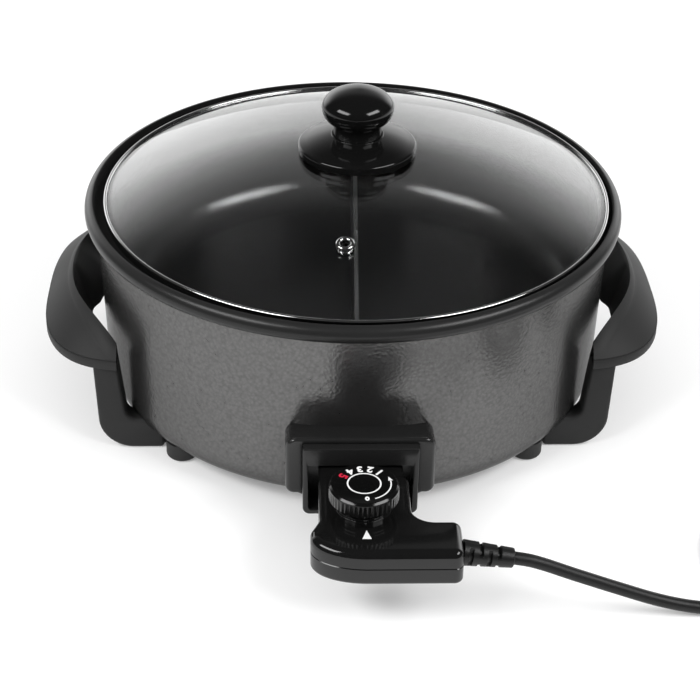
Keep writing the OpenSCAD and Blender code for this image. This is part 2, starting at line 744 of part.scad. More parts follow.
module knob_screw() {
    head_h = 3;
    head_z = under_glass - gasket_t - washer_t - head_h;
    color("#b0b2b4") at_lid() {
        translate([0, 0, head_z]) cylinder(r = 2 * bolt_r, h = head_h);
        translate([0, 0, head_z + head_h - eps]) cylinder(r = bolt_r, h = neck_z + bolt_in - head_z - head_h);
    }
}

// Controller case: an L in plan, split level, with a hollow inside
case_top_z = case_z + case_h / 2;
case_low_z = case_z - case_h / 2;
split_z = case_low_z + lower_case_h;
elbow_r = 12;
case_nose = 16.5;
arm_y = case_front - case_arm_d;
case_corner = 2.5;
function case_outline(d) = concat(
    [[-neck_x + d, -neck_end_y - d], [-neck_x + d, -arm_y + 2], [-case_left + d, -arm_y - 6]],
    arc(2, -case_front + case_nose, case_left + 2 - d, case_nose - d, 180, 270),
    arc(case_right - case_corner, case_corner - case_front, case_corner - d, case_corner - d, 270, 360, 4),
    arc(case_right - case_corner, -arm_y - case_corner, case_corner - d, case_corner - d, 0, 90, 4),
    arc(neck_x + elbow_r, -arm_y + elbow_r, elbow_r + d, elbow_r + d, 270, 180, 6),
    [[neck_x - d, -neck_end_y - d]]
);
module case_slab(d, z0, z1) {
    translate([0, 0, z0]) linear_extrude(z1 - z0) polygon(case_outline(d));
}
cut_l = 10; // reach of a bore to each side of the wall it opens
module case_openings() {
    bore_y = cut_l - neck_end_y;
    sides() lying(pin_x, bore_y, case_z) cylinder(r = pin_r + slide_gap, h = 2 * cut_l);
    lying(0, bore_y, probe_z) cylinder(r = probe_r, h = 2 * cut_l);
    lying(earth_x, bore_y, earth_z) cylinder(r = earth_r + slide_gap, h = 2 * cut_l);
    at_boot() translate([0, 0, -cut_l]) cylinder(r = boot_plug_r, h = 2 * cut_l);
    translate([0, -dial_y, split_z]) cylinder(r = shaft_r + running_gap, h = through);
}
module controller_top() {
    color("#151516") at_pan() difference() {
        union() {
            difference() {
                case_slab(0, split_z, case_top_z);
                case_slab(case_wall, split_z - 1, case_top_z - case_wall);
            }
            case_screw_places() translate([0, 0, split_z])
                cylinder(r = 2 * case_screw_r, h = case_top_z - case_wall - split_z + eps);
        }
        case_openings();
        case_screw_places() translate([0, 0, split_z - 1]) cylinder(r = case_screw_r, h = case_screw_in + 1);
    }
}
module controller_bottom() {
    color("#1a1a1b") at_pan() difference() {
        union() {
            difference() {
                case_slab(0, case_low_z, split_z);
                case_slab(case_wall, case_low_z + case_wall, split_z + 1);
            }
            case_screw_places()
                translate([0, 0, case_low_z]) cylinder(r = 2 * case_screw_r, h = lower_case_h);
        }
        case_openings();
        case_screw_places() translate([0, 0, case_low_z - 1]) cylinder(r = case_screw_r, h = through);
        case_screw_places() translate([0, 0, case_low_z - 1])
            cylinder(r = 1.8 * case_screw_r, h = case_head_deep + 1);
    }
}
case_screw_r = 1.5;
case_head_h = 1.6;
case_head_deep = 2; // counterbore in the lower case
case_screw_in = 6; // hole in the upper case
case_screw_spots = [[13 - case_left, -arm_y - 10], [case_right - 19, 6 - case_front],
    [case_right - 19, -arm_y - 6]];
module case_screw_places() {
    for (p = case_screw_spots) translate([p[0], p[1], 0]) children();
}
module case_screws() {
    shank_z = case_low_z + case_head_deep;
    color("#b0b2b4") at_pan() case_screw_places() {
        translate([0, 0, shank_z - case_head_h]) cylinder(r = 1.7 * case_screw_r, h = case_head_h);
        translate([0, 0, shank_z - eps])
            cylinder(r = case_screw_r, h = split_z + case_screw_in - 0.5 - shank_z);
    }
}

// Dial on its shaft over a stepped collar
dial_z = case_top_z + collar_h + seat_gap;
dial_top = dial_z + dial_h;
knurls = 48;
module dial_collar() {
    color("#161617") at_pan() translate([0, -dial_y, case_top_z]) difference() {
        rotate_extrude() polygon([
            [0, 0], [collar_r + 1.5, 0], [collar_r + 1.5, 0.35 * collar_h],
            [collar_r, 0.4 * collar_h], [collar_r, 0.65 * collar_h],
            [collar_r - 1, 0.7 * collar_h], [collar_r - 1, collar_h], [0, collar_h]
        ]);
        translate([0, 0, -1]) cylinder(r = shaft_r + running_gap, h = collar_h + 2);
    }
}
module dial() {
    knurl = 0.5;
    color("#131314") at_pan() translate([0, -dial_y, dial_z]) difference() {
        union() {
            linear_extrude(dial_h - 1) polygon([for (i = [0:2 * knurls - 1])
                let (a = 180 * i / knurls, r = dial_r - knurl * (i % 2)) [r * cos(a), r * sin(a)]]);
            translate([0, 0, dial_h - 1 - eps])
                cylinder(r1 = dial_r - knurl, r2 = dial_r - 2 * knurl, h = 1 + eps);
        }
        translate([0, 0, -1]) cylinder(r = shaft_r, h = dial_h - 2);
    }
}
cam_z = case_top_z - case_wall - 3;
module dial_shaft() {
    color("#b0b2b4") at_pan() translate([0, -dial_y, 0]) {
        translate([0, 0, cam_z]) cylinder(r = shaft_r, h = dial_top - 3 - cam_z);
        translate([0, 0, cam_z]) cylinder(r = shaft_r + 2, h = 1.5);
    }
}

// Works inside the controller
block_y = neck_end_y + case_wall + 1;
block_d = 22;
block_x = neck_x - case_wall - 0.5;
module terminal_block() {
    color("#5b4a3c") at_pan() difference() {
        translate([-block_x, -block_y - block_d, case_low_z + case_wall])
            cube([2 * block_x, block_d, case_h - 2 * case_wall]);
        sides() lying(pin_x, -block_y + 1, case_z) cylinder(r = receptacle_r, h = block_d + 2);
        lying(0, -block_y + 1, probe_z) cylinder(r = probe_r, h = block_d + 2);
        lying(earth_x, -block_y + 1, earth_z) cylinder(r = earth_r + 1, h = block_d + 2);
    }
}
receptacle_r = pin_r + slide_gap + 1;
module pin_receptacles() {
    color("#b8953f") at_pan() {
        sides() lying(pin_x, -block_y, case_z) pipe(receptacle_r, pin_r + slide_gap);
        lying(earth_x, -block_y, earth_z) pipe(earth_r + 1, earth_r + slide_gap);
    }
}
module pipe(outer, inner) {
    difference() {
        cylinder(r = outer, h = block_d);
        translate([0, 0, -1]) cylinder(r = inner, h = block_d + 2);
    }
}
module switch_blades() {
    blade_t = 0.6;
    blade_l = dial_y - block_y - block_d + 8;
    color("#c08a4a") at_pan() for (z = [cam_z - 2, cam_z - 5])
        translate([-3, -block_y - block_d - blade_l, z]) cube([6, blade_l, blade_t]);
}
module probe_rod() {
    color("#b9bbbd") at_pan() lying(0, probe_l - neck_end_y, probe_z)
        cylinder(r = probe_r, h = probe_l + block_y - neck_end_y + block_d);
}

// Cord, strain relief, coil and plug. The route is in the part's own frame.
cord_route = [
    [77, -192, 39], [85, -192, 37.4], [93, -192, 34.7], [101, -192, 31.4], [109, -192, 28],
    [118, -192, 24.4], [127, -192, 20.8], [136, -192, 17.3], [145, -192, 13.8], [154, -192, 10.6],
    [163, -192, 7.9], [172, -192, 5.8], [182, -192, 4.3], [192, -192, 3.6], [204, -192, 3.6],
    [216, -192, 4], [228, -192, 4.4], [240, -192, 4.5]
];
tail_route = [
    [282, -150, 11.5], [282, -143, 11.5], [282, -136, 11.8], [282, -129, 12.6], [282, -122, 13.8],
    [282, -115, 15.4], [282, -108, 17], [282, -101, 18.3], [282, -94, 19], [282, -88, 19]
];
coil_x = 240;
coil_y = -150;
coil_turn_r = 38.5;
coil_z = 1;
cord_r = cord_d / 2;
boot_start = [case_right - 0.5, cord_route[0][1] - pan_y, case_z];
boot_run = cord_route[0] - [0, pan_y, 0] - boot_start;
boot_l = norm(boot_run);
boot_plug_r = boot_r - 1.5;
module at_boot() {
    translate(boot_start) rotate([0, atan2(boot_run[0], boot_run[2]), 0]) children();
}
module strain_relief() {
    color("#171718") at_pan() difference() {
        union() {
            difference() {
                at_boot() translate([0, 0, -3]) cylinder(r1 = boot_r + 0.2, r2 = boot_tip_r, h = boot_l + 3);
                translate([case_right - through, boot_start[1] - through / 2, case_z - through / 2])
                    cube(through);
            }
            at_boot() translate([0, 0, -5]) cylinder(r = boot_plug_r, h = 8);
        }
        at_boot() translate([0, 0, -through / 2]) cylinder(r = cord_r, h = boot_l + through);
    }
}
tube_sides = 10;
// Tube of radius r along points: a ring square to the mean direction at each point
module tube(points, r) {
    last = len(points) - 1;
    heading = [for (i = [0:last])
        let (d = points[min(i + 1, last)] - points[max(i - 1, 0)]) d / norm(d)];
    ring_at = function (i) let (side = cross(heading[i], [0, 0, 1]), s = side / norm(side),
        up = cross(s, heading[i]))
        [for (j = [0:tube_sides - 1]) let (a = 360 * j / tube_sides)
            points[i] + r * (cos(a) * s + sin(a) * up)];
    n = tube_sides;
    polyhedron(
        points = [for (i = [0:last]) each ring_at(i)],
        faces = concat(
            [[for (j = [0:n - 1]) j]],
            [for (i = [0:last - 1], j = [0:n - 1])
                [i * n + j, (i + 1) * n + j, (i + 1) * n + (j + 1) % n, i * n + (j + 1) % n]],
            [[for (j = [n - 1:-1:0]) last * n + j]]
        )
    );
}
module cord() { color("#1c1c1d") tube(cord_route, cord_r); }
module cord_tail() { color("#1c1c1d") tube(tail_route, cord_r); }
module cord_coil() {
    color("#1c1c1d") translate([coil_x, coil_y, coil_z]) rotate_extrude()
        translate([coil_turn_r - cord_d, 0]) square([2 * cord_d, 2 * cord_d]);
}
module coil_tie() {
    tie_w = 8;
    color("#2a2a2b") translate([coil_x - tie_w / 2, coil_y + coil_turn_r - cord_d - 2, 0]) difference() {
        cube([tie_w, 2 * cord_d + 4, 2 * cord_d + 2 * coil_z]);
        translate([-1, 1.2, coil_z]) cube([tie_w + 2, 2 * cord_d + 1.6, 2 * cord_d]);
    }
}
plug_base = tail_route[len(tail_route) - 1];
module at_plug() { translate(plug_base) rotate([-90, 0, 0]) children(); }
module plug_body() {
    grip_r = 0.62 * plug_r;
    color("#161617") at_plug() difference() {
        rotate_extrude() polygon([
            [0, 0], [cord_r + 2, 0], [cord_r + 3, 0.2 * plug_l], [grip_r, 0.28 * plug_l],
            [grip_r, 0.6 * plug_l], [plug_r, 0.72 * plug_l], [plug_r, plug_l], [0, plug_l]
        ]);
        sides() translate([plug_pin_x, 0, plug_l - 8]) cylinder(r = plug_pin_r, h = 10);
    }
}
plug_pin_x = 9.5;
plug_pin_r = 2.4;
plug_pin_l = 19;
module plug_pins() {
    color("#cfd1d3") at_plug() sides() translate([plug_pin_x, 0, plug_l - 8])
        cylinder(r = plug_pin_r, h = 8 + plug_pin_l);
}

cooking_pot();
casing();
base_plate();
base_screws();
feet();
heating_element();
heat_spreader();
element_clamp();
clamp_nut();
terminal_pins();
terminal_bushes();
earth_pin();
probe_tube();
socket_shroud();
socket_guard();
socket_screws();
left_grip();
right_grip();
left_legs();
right_legs();
handle_screws();
handle_nuts();
divider();
lid_glass();
lid_band();
knob_base();
lid_knob();
lid_gasket();
knob_washer();
knob_screw();
vent_eyelet();
controller_top();
controller_bottom();
case_screws();
dial_collar();
dial();
dial_shaft();
terminal_block();
pin_receptacles();
switch_blades();
probe_rod();
strain_relief();
cord();
cord_coil();
coil_tie();
cord_tail();
plug_body();
plug_pins();
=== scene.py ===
from math import radians

import bmesh
import bpy
import numpy as np
from mathutils import Matrix, Quaternion, Vector


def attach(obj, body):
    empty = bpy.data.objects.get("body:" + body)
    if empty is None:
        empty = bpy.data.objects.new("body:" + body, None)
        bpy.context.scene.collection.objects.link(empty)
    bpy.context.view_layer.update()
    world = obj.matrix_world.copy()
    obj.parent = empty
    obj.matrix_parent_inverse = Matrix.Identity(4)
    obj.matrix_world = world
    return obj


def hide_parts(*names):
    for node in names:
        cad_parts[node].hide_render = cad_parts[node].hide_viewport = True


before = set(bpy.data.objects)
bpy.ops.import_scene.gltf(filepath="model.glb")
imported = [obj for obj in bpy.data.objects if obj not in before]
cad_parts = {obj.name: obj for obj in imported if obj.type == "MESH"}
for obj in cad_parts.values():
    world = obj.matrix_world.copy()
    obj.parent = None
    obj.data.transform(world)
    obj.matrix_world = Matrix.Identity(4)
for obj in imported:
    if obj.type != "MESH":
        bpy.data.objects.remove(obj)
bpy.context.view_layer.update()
scene = bpy.context.scene
scene.view_settings.view_transform = "Standard"


# Camera: a long lens in front of the skillet and a little to its left, looking down at the lid by about a
# third of a right angle.
camera = bpy.data.objects.new("camera", bpy.data.cameras.new("camera"))
camera.data.sensor_width = 36
camera.data.lens = 93.28
camera.location = (-0.0378, -0.9224, 0.6312)
aim = Vector((0.0327, 0.8433, -0.5364))
camera.rotation_mode = "QUATERNION"
camera.rotation_quaternion = aim.to_track_quat("-Z", "Y") @ Quaternion((0, 0, 1), radians(1.03))
scene.collection.objects.link(camera)
scene.camera = camera


# Mains cord: a round black PVC lead, 7 mm thick and about a metre long. It falls from the thermostat's boot
# to the table and lies in a small coil beyond the picture's edge. Sizes here are in millimetres, as in the
# CAD, and become metres where a mesh or curve is filled.
MM = 0.001
CORD_D = 7.0
cord_route = np.array([
    [77, -192, 39], [85, -192, 37.4], [93, -192, 34.7], [101, -192, 31.4], [109, -192, 28],
    [118, -192, 24.4], [127, -192, 20.8], [136, -192, 17.3], [145, -192, 13.8], [154, -192, 10.6],
    [163, -192, 7.9], [172, -192, 5.8], [182, -192, 4.3], [192, -192, 3.6], [204, -192, 3.6],
    [216, -192, 4], [228, -192, 4.4], [240, -192, 4.5]])
tail_route = np.array([
    [282, -150, 11.5], [282, -143, 11.5], [282, -136, 11.8], [282, -129, 12.6], [282, -122, 13.8],
    [282, -115, 15.4], [282, -108, 17], [282, -101, 18.3], [282, -94, 19], [282, -88, 19]])
COIL = np.array([240.0, -150.0])


def through(points, steps):
    """A cubic from each point to the next, leaving each along the line between its two neighbours."""
    ends = np.vstack([2 * points[0] - points[1], points, 2 * points[-1] - points[-2]])[:, None]
    a, b, c, d = ends[:-3], ends[1:-2], ends[2:-1], ends[3:]
    t = np.linspace(0, 1, steps, endpoint=False)[None, :, None]
    curve = b + (c - a) * t / 2 + (2 * a - 5 * b + 4 * c - d) * t**2 / 2 + (3 * b - a - 3 * c + d) * t**3 / 2
    return np.vstack([curve.reshape(-1, 3), points[-1]])


def step(x, low, high):
    """Rises smoothly from 0 at low to 1 at high, as three squares less two cubes."""
    t = np.clip((x - low) / (high - low), 0, 1)
    return t * t * (3 - 2 * t)


def coil_turns():
    """Three and a quarter turns about COIL: the radius drops by one cord, the height rises by one, then it
    swings out again, so each turn lies beside or on the last."""
    turn = np.arange(-90, 1080.1, 5)
    radius = 42 - CORD_D * step(turn, 220, 270) + CORD_D * step(turn, 800, 870)
    height = 4.5 + CORD_D * step(turn, 510, 580)
    a = np.radians(turn)
    return np.stack([COIL[0] + radius * np.cos(a), COIL[1] + radius * np.sin(a), height], -1)


class Wire:
    """A socket in a node tree. Arithmetic on it adds Math nodes, and node() adds any other kind."""

    def __init__(self, tree, socket=None):
        self.tree, self.socket = tree, socket

    def node(self, kind, inputs=(), output=0, stops=None, **settings):
        made = self.tree.nodes.new(kind)
        for key, value in settings.items():
            setattr(made, key, value)
        if stops:
            made.color_ramp.elements[0].position, made.color_ramp.elements[0].color = stops[0]
            made.color_ramp.elements[1].position, made.color_ramp.elements[1].color = stops[-1]
            for place, colour in stops[1:-1]:
                made.color_ramp.elements.new(place).color = colour
        for key, value in dict(inputs).items():
            if isinstance(value, Wire):
                self.tree.links.new(value.socket, made.inputs[key])
            else:
                made.inputs[key].default_value = value
        return Wire(self.tree, made.outputs[output])

    def math(self, operation, a, b):
        return self.node("ShaderNodeMath", {0: a, 1: b}, operation=operation)

    def __add__(self, other):
        return self.math("ADD", self, other)

    def __sub__(self, other):
        return self.math("SUBTRACT", self, other)

    def __rsub__(self, other):
        return self.math("SUBTRACT", other, self)

    def __mul__(self, other):
        return self.math("MULTIPLY", self, other)

    def __pow__(self, other):
        return self.math("POWER", self, other)

    __radd__, __rmul__ = __add__, __mul__


def grey(level, warmth=0.0):
    """A neutral colour of that display level, from 0 to 1, as linear red, green, blue and alpha."""
    linear = lambda v: v / 12.92 if v <= 0.04045 else ((v + 0.055) / 1.055) ** 2.4
    return (linear(level * (1 + warmth)), linear(level), linear(level * (1 - warmth)), 1)


def finished(name, constants, shade):
    """A material whose constants sit on the shader's sockets; shade gives what varies, by socket."""
    made = bpy.data.materials.new(name)
    made.use_nodes = True
    shader = made.node_tree.nodes["Principled BSDF"]
    for socket, value in constants.items():
        shader.inputs[socket].default_value = value
    for socket, wire in shade(Wire(made.node_tree)).items():
        made.node_tree.links.new(wire.socket, shader.inputs[socket])
    return made


def own_place(w):
    """The point's place in its piece, which at rest is its place in the frame."""
    return w.node("ShaderNodeTexCoord", output="Object")


def noise(place, scale, detail):
    """Smooth random values from 0 to 1, scale waves to the metre, with that many finer layers."""
    return place.node("ShaderNodeTexNoise", {"Vector": place, "Scale": scale, "Detail": detail})


def blended(factor, low, high):
    """The colour low where the factor is 0 and high where it is 1."""
    return factor.node("ShaderNodeMix", {0: factor, 6: low, 7: high}, 2, data_type="RGBA")


def moulded(name, level, gloss, grain=0.05, grain_size=0.5, index=1.45):
    """Plastic or rubber from a tool: fine grain in the bump, slow clouds in tone and gloss."""
    def shade(w):
        place = own_place(w)
        fine, cloud = noise(place, 1000 / grain_size, 2.0), noise(place, 40.0, 3.0)
        return {"Base Color": blended(cloud, grey(level * 0.88), grey(level * 1.12)),
                "Roughness": gloss - 0.05 + 0.1 * cloud,
                "Normal": w.node("ShaderNodeBump", {"Strength": grain, "Distance": 0.0002, "Height": fine})}
    return finished(name, {"IOR": index}, shade)


cord_rubber = moulded("cord_rubber", 0.09, 0.42, 0.15, 1.2, 1.33)
lead_points = np.vstack([through(cord_route, 4)[:-1], coil_turns()[:-1], through(tail_route, 4)])
lead_curve = bpy.data.curves.new("mains_lead", "CURVE")
lead_curve.dimensions = "3D"
lead_curve.bevel_depth = CORD_D / 2 * MM
lead_curve.bevel_resolution = 6
lead_curve.use_fill_caps = True
line = lead_curve.splines.new("POLY")
line.points.add(len(lead_points) - 1)
line.points.foreach_set("co", np.c_[lead_points * MM, np.ones(len(lead_points))].ravel())
line.use_smooth = True
lead_curve.materials.append(cord_rubber)
mains_lead = bpy.data.objects.new("mains_lead", lead_curve)
scene.collection.objects.link(mains_lead)
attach(mains_lead, "controller")
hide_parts("cord", "cord_coil", "cord_tail")


# Strain relief: a tapered boot of soft PVC moulded on the cord where it leaves the thermostat. Cuts across
# its top and bottom alternate with cuts in its sides, so that it bends evenly.
BOOT = np.array([[50.5, -192, 42.93], [77.0, -192, 39]])
BOOT_R = (6.9, 5.2)
CUT_DEEP, CUT_HALF = 2.3, 1.15


def turned(profile, foot, along=(0, 0, 1), around=240):
    """Turns a profile of (radius, distance) about the line from foot in the direction along: each point runs
    round a circle of its radius, square to that line at its distance."""
    radius, distance = np.asarray(profile, float).T[:, :, None, None]
    along = np.asarray(along, float) / np.linalg.norm(along)
    side = np.cross(along, (1, 0, 0) if abs(along[0]) < 0.9 else (0, 1, 0))
    side /= np.linalg.norm(side)
    a = np.linspace(0, 2 * np.pi, around + 1)[:, None]
    circle = np.cos(a) * side + np.sin(a) * np.cross(along, side)
    return np.asarray(foot, float) + distance * along + radius * circle


def solid(name, *grids, caps=(), sharp=35):
    """One closed mesh: neighbours in each grid of points make its quads, each cap is one flat face round a
    loop, and points that meet are merged."""
    points, faces, start = [], [], 0
    for grid in grids:
        rows, columns = grid.shape[:2]
        corner = start + np.add.outer(np.arange(rows - 1) * columns, np.arange(columns - 1)).ravel()
        faces += np.stack([corner, corner + 1, corner + columns + 1, corner + columns], -1).tolist()
        points.append(grid.reshape(-1, 3))
        start += rows * columns
    for loop in caps:
        faces.append(list(range(start, start + len(loop))))
        points.append(loop)
        start += len(loop)
    mesh = bpy.data.meshes.new(name)
    mesh.from_pydata((np.vstack(points) * MM).tolist(), [], faces)
    work = bmesh.new()
    work.from_mesh(mesh)
    bmesh.ops.remove_doubles(work, verts=work.verts, dist=2e-6)
    bmesh.ops.dissolve_degenerate(work, edges=work.edges, dist=1e-7)
    bmesh.ops.recalc_face_normals(work, faces=work.faces)
    work.to_mesh(mesh)
    work.free()
    mesh.shade_smooth()
    mesh.set_sharp_from_angle(angle=radians(sharp))
    piece = bpy.data.objects.new(name, mesh)
    scene.collection.objects.link(piece)
    return piece


def fit(piece, material, body, slot, *nodes):
    """Gives a piece its finish, the body it rides on and the CAD nodes that it stands for; slot is not used.
    """
    piece.data.materials.clear()
    piece.data.materials.append(material)
    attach(piece, body)
    if nodes:
        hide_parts(*nodes)
    return piece


def boot_surface():
    """A cone about the boot's axis, less smooth-edged cuts: top and bottom cuts where |sin| of the angle is
    large, side cuts where |cos| is large, each CUT_HALF to either side of its place."""
    run = BOOT[1] - BOOT[0]
    length = np.linalg.norm(run)
    share = np.linspace(0, 1, 161)[:, None]
    a = np.linspace(0, 2 * np.pi, 97)[None, :]
    cone = BOOT_R[0] + (BOOT_R[1] - BOOT_R[0]) * share
    cut = lambda place: 1 - step(np.abs(share - place) * length, CUT_HALF - 0.35, CUT_HALF)
    upright = step(np.abs(np.sin(a)), 0.35, 0.6)
    sideways = step(np.abs(np.cos(a)), 0.5, 0.75)
    depth = np.maximum((cut(0.33) + cut(0.69)) * upright, (cut(0.14) + cut(0.51)) * sideways)
    edge = 0.8 * (1 - np.sqrt(1 - (1 - np.clip((1 - share) * length / 0.8, 0, 1)) ** 2))
    radius = cone - CUT_DEEP * depth - edge
    along = run / length
    side = np.array([0.0, 1, 0])
    up = np.cross(along, side)
    skin = (BOOT[0] + share[..., None] * run
            + radius[..., None] * (np.cos(a)[..., None] * side + np.sin(a)[..., None] * up))
    ends = [np.broadcast_to(p, skin[:1].shape) for p in BOOT]
    return np.vstack([ends[0], skin, ends[1]])


boot = fit(solid("cord_boot", boot_surface()), moulded("boot_rubber", 0.06, 0.4, 0.2, 0.8, 1.38),
           "controller", "cord_rubber", "strain_relief")


# Coil tie: a band of soft plastic, as the lead is packed. It is closed round the coil's turns and holds them
# together.
TIE = dict(middle=(-111.5, 8.0), half=(9.0, 8.0), wall=1.1, width=8.0)


def rounded(corners, closed=True, steps=8):
    """A path whose corners (x, y, radius) are arcs: each arc begins and ends radius / tan(half the corner's
    angle) before and after it, and turns the rest of a half circle about a centre on the bisector."""
    corners = np.asarray(corners, float)
    p, radius = corners[:, :2], corners[:, 2:].copy()
    if not closed:
        radius[[0, -1]] = 0
    unit = lambda v: v / np.maximum(np.linalg.norm(v, axis=1, keepdims=True), 1e-9)
    back, ahead = unit(np.roll(p, 1, 0) - p), unit(np.roll(p, -1, 0) - p)
    half = np.arccos(np.clip((back * ahead).sum(1, keepdims=True), -1, 1)) / 2
    centre = p + unit(back + ahead) * radius / np.sin(half)
    start, end = p + back * radius / np.tan(half) - centre, p + ahead * radius / np.tan(half) - centre
    way = np.sign(start[:, :1] * end[:, 1:] - start[:, 1:] * end[:, :1])
    turn = way * (np.pi - 2 * half) * np.linspace(0, 1, steps + 1)
    x = start[:, :1] * np.cos(turn) - start[:, 1:] * np.sin(turn)
    y = start[:, :1] * np.sin(turn) + start[:, 1:] * np.cos(turn)
    return (centre[:, None] + np.stack([x, y], -1)).reshape(-1, 2)


def box_corners(low, high, radius):
    """The four corners of an upright rectangle, counter-clockwise from the lower left, with one radius."""
    return [(low[0], low[1], radius), (high[0], low[1], radius),
            (high[0], high[1], radius), (low[0], high[1], radius)]


def tie_band():
    """A rounded rectangle round the coil's strand, carried across the band's width, outer and inner wall."""
    middle, half = np.array(TIE["middle"]), np.array(TIE["half"])
    outer = rounded(box_corners(middle - half, middle + half, 3.4))
    inner = rounded(box_corners(middle - half + TIE["wall"], middle + half - TIE["wall"], 2.4))
    x = COIL[0] + TIE["width"] * np.array([-0.5, -0.45, 0.45, 0.5, 0.5, -0.5, -0.5])
    loops = [0.9 * outer + 0.1 * inner, outer, outer, 0.9 * outer + 0.1 * inner, inner, inner,
             0.9 * outer + 0.1 * inner]
    grid = np.stack([np.c_[np.full(len(l), v), l] for v, l in zip(x, loops)])
    return np.concatenate([grid, grid[:, :1]], 1)


tie = fit(solid("lead_tie", tie_band()), moulded("tie_plastic", 0.18, 0.5, 0.3, 0.6),
          "controller", "tie_plastic", "coil_tie")


# Mains plug: a black plastic body with grip rings, moulded on the lead's end. Its two plated round pins keep
# their CAD shape.
PLUG = (282, -88, 19)
PLUG_R, PLUG_L, PIN_R, PIN_X = 19.0, 48.0, 2.4, 9.5


def plug_skin():
    """A turned body from the cord's collar over the grip to the face. Three shallow rings are taken out of
    the grip, each a smooth step in and out again about its place."""
    outline = rounded([(0, 0, 0), (5.5, 0, 0.8), (6.5, 9.6, 2), (11.8, 13.4, 3), (11.8, 29, 6),
                       (PLUG_R, 34.6, 3), (PLUG_R, PLUG_L, 1.5), (0, PLUG_L, 0)], closed=False)
    along = np.linspace(0, 1, 400)
    run = np.r_[0, np.cumsum(np.linalg.norm(np.diff(outline, axis=0), axis=1))]
    fine = np.stack([np.interp(along * run[-1], run, outline[:, k]) for k in (0, 1)], -1)
    rings = sum(1 - step(np.abs(fine[:, 1] - place), 0.4, 1.1) for place in (17.5, 21.5, 25.5))
    fine[:, 0] -= 0.9 * rings * (fine[:, 0] > 10)
    return turned(fine, PLUG, (0, 1, 0), 120)


def bored(piece, *bars):
    """Takes closed bars out of a piece by an exact boolean, and keeps the resulting mesh."""
    cutter = solid("cutter", *bars)
    cut = piece.modifiers.new("bores", "BOOLEAN")
    cut.operation, cut.solver, cut.object = "DIFFERENCE", "EXACT", cutter
    mesh = bpy.data.meshes.new_from_object(piece.evaluated_get(bpy.context.evaluated_depsgraph_get()))
    piece.modifiers.clear()
    piece.data = mesh
    bpy.data.objects.remove(cutter)
    mesh.shade_smooth()
    mesh.set_sharp_from_angle(angle=radians(35))
    return piece


def rod(foot, tip, radius, around=48):
    """A straight round bar from foot to tip, closed at both ends."""
    run = np.subtract(tip, foot)
    length = np.linalg.norm(run)
    return turned([(0, 0), (radius, 0), (radius, length), (0, length)], foot, run, around)


def metal(name, level, gloss, brushing=0.1, size=3.0, warmth=0.0):
    """Bare metal: rolling marks and slight tarnish in the gloss and tone."""
    def shade(w):
        marks = noise(own_place(w), 1000 / size, 4.0)
        return {"Base Color": blended(marks, grey(level * 0.92, warmth), grey(level, warmth)),
                "Roughness": gloss - brushing / 2 + brushing * marks}
    return finished(name, {"Metallic": 1.0}, shade)


def dress(material, *nodes):
    """Puts a finish on CAD nodes that keep their own shape."""
    for node in nodes:
        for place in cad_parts[node].material_slots:
            place.material = material


plug_face = PLUG[1] + PLUG_L
plug = bored(solid("lead_plug", plug_skin()), *[
    rod((PLUG[0] + x, plug_face - 8, PLUG[2]), (PLUG[0] + x, plug_face + 3, PLUG[2]), PIN_R)
    for x in (-PIN_X, PIN_X)])
fit(plug, moulded("plug_plastic", 0.14, 0.38, 0.15, 0.7), "controller", "plug_plastic", "plug_body")
dress(metal("plug_metal", 0.85, 0.22), "plug_pins")


# Cooking pot: a spun aluminium pot with a black non-stick coat. Its wall turns out into the lid's seat, and
# the rolled rim stands over the casing's edge.
PAN = (0, 45, 0)
POT_R, POT_FLOOR, POT_CORNER, POT_WALL, FLOOR_T = 145.0, 52.0, 25.0, 2.5, 4.0
RIM_R, RIM_Z, SEAT_Z, BEAD_R = 160.0, 130.0, 124.0, 5.5


def arc(cx, cz, rx, rz, start, end, steps=16):
    """Points of an elliptic arc about (cx, cz) between two angles in degrees."""
    a = np.radians(np.linspace(start, end, steps + 1))
    return np.stack([cx + rx * np.cos(a), cz + rz * np.sin(a)], -1)


pot_corner = (POT_R - POT_CORNER, POT_FLOOR + POT_CORNER)
pot_profile = np.vstack([
    [(0, POT_FLOOR)], arc(*pot_corner, POT_CORNER, POT_CORNER, -90, 0, 24),
    arc(POT_R + 0.9, SEAT_Z - 0.9, 0.9, 0.9, 180, 90, 6),
    [(153.6, SEAT_Z)], arc(153.6, SEAT_Z + 0.9, 0.9, 0.9, -90, 0, 5),
    arc(155.3, RIM_Z - 0.86, 0.8, 0.8, 180, 90, 6),
    arc(RIM_R - BEAD_R, RIM_Z - BEAD_R, BEAD_R, BEAD_R, 80, -72, 34),
    [(155.2, 119.8), (154.4, 122.5), (151.7, 122.5), (151.7, 121.5), (POT_R + POT_WALL, 121.5)],
    arc(*pot_corner, POT_CORNER + POT_WALL, POT_CORNER + FLOOR_T, 0, -90, 24), [(0, POT_FLOOR - FLOOR_T)]])


def ramped(value, low, high, **how):
    """Rises from 0 at low to 1 at high, and is level beyond both."""
    return value.node("ShaderNodeMapRange", {"Value": value, "From Min": low, "From Max": high}, **how)


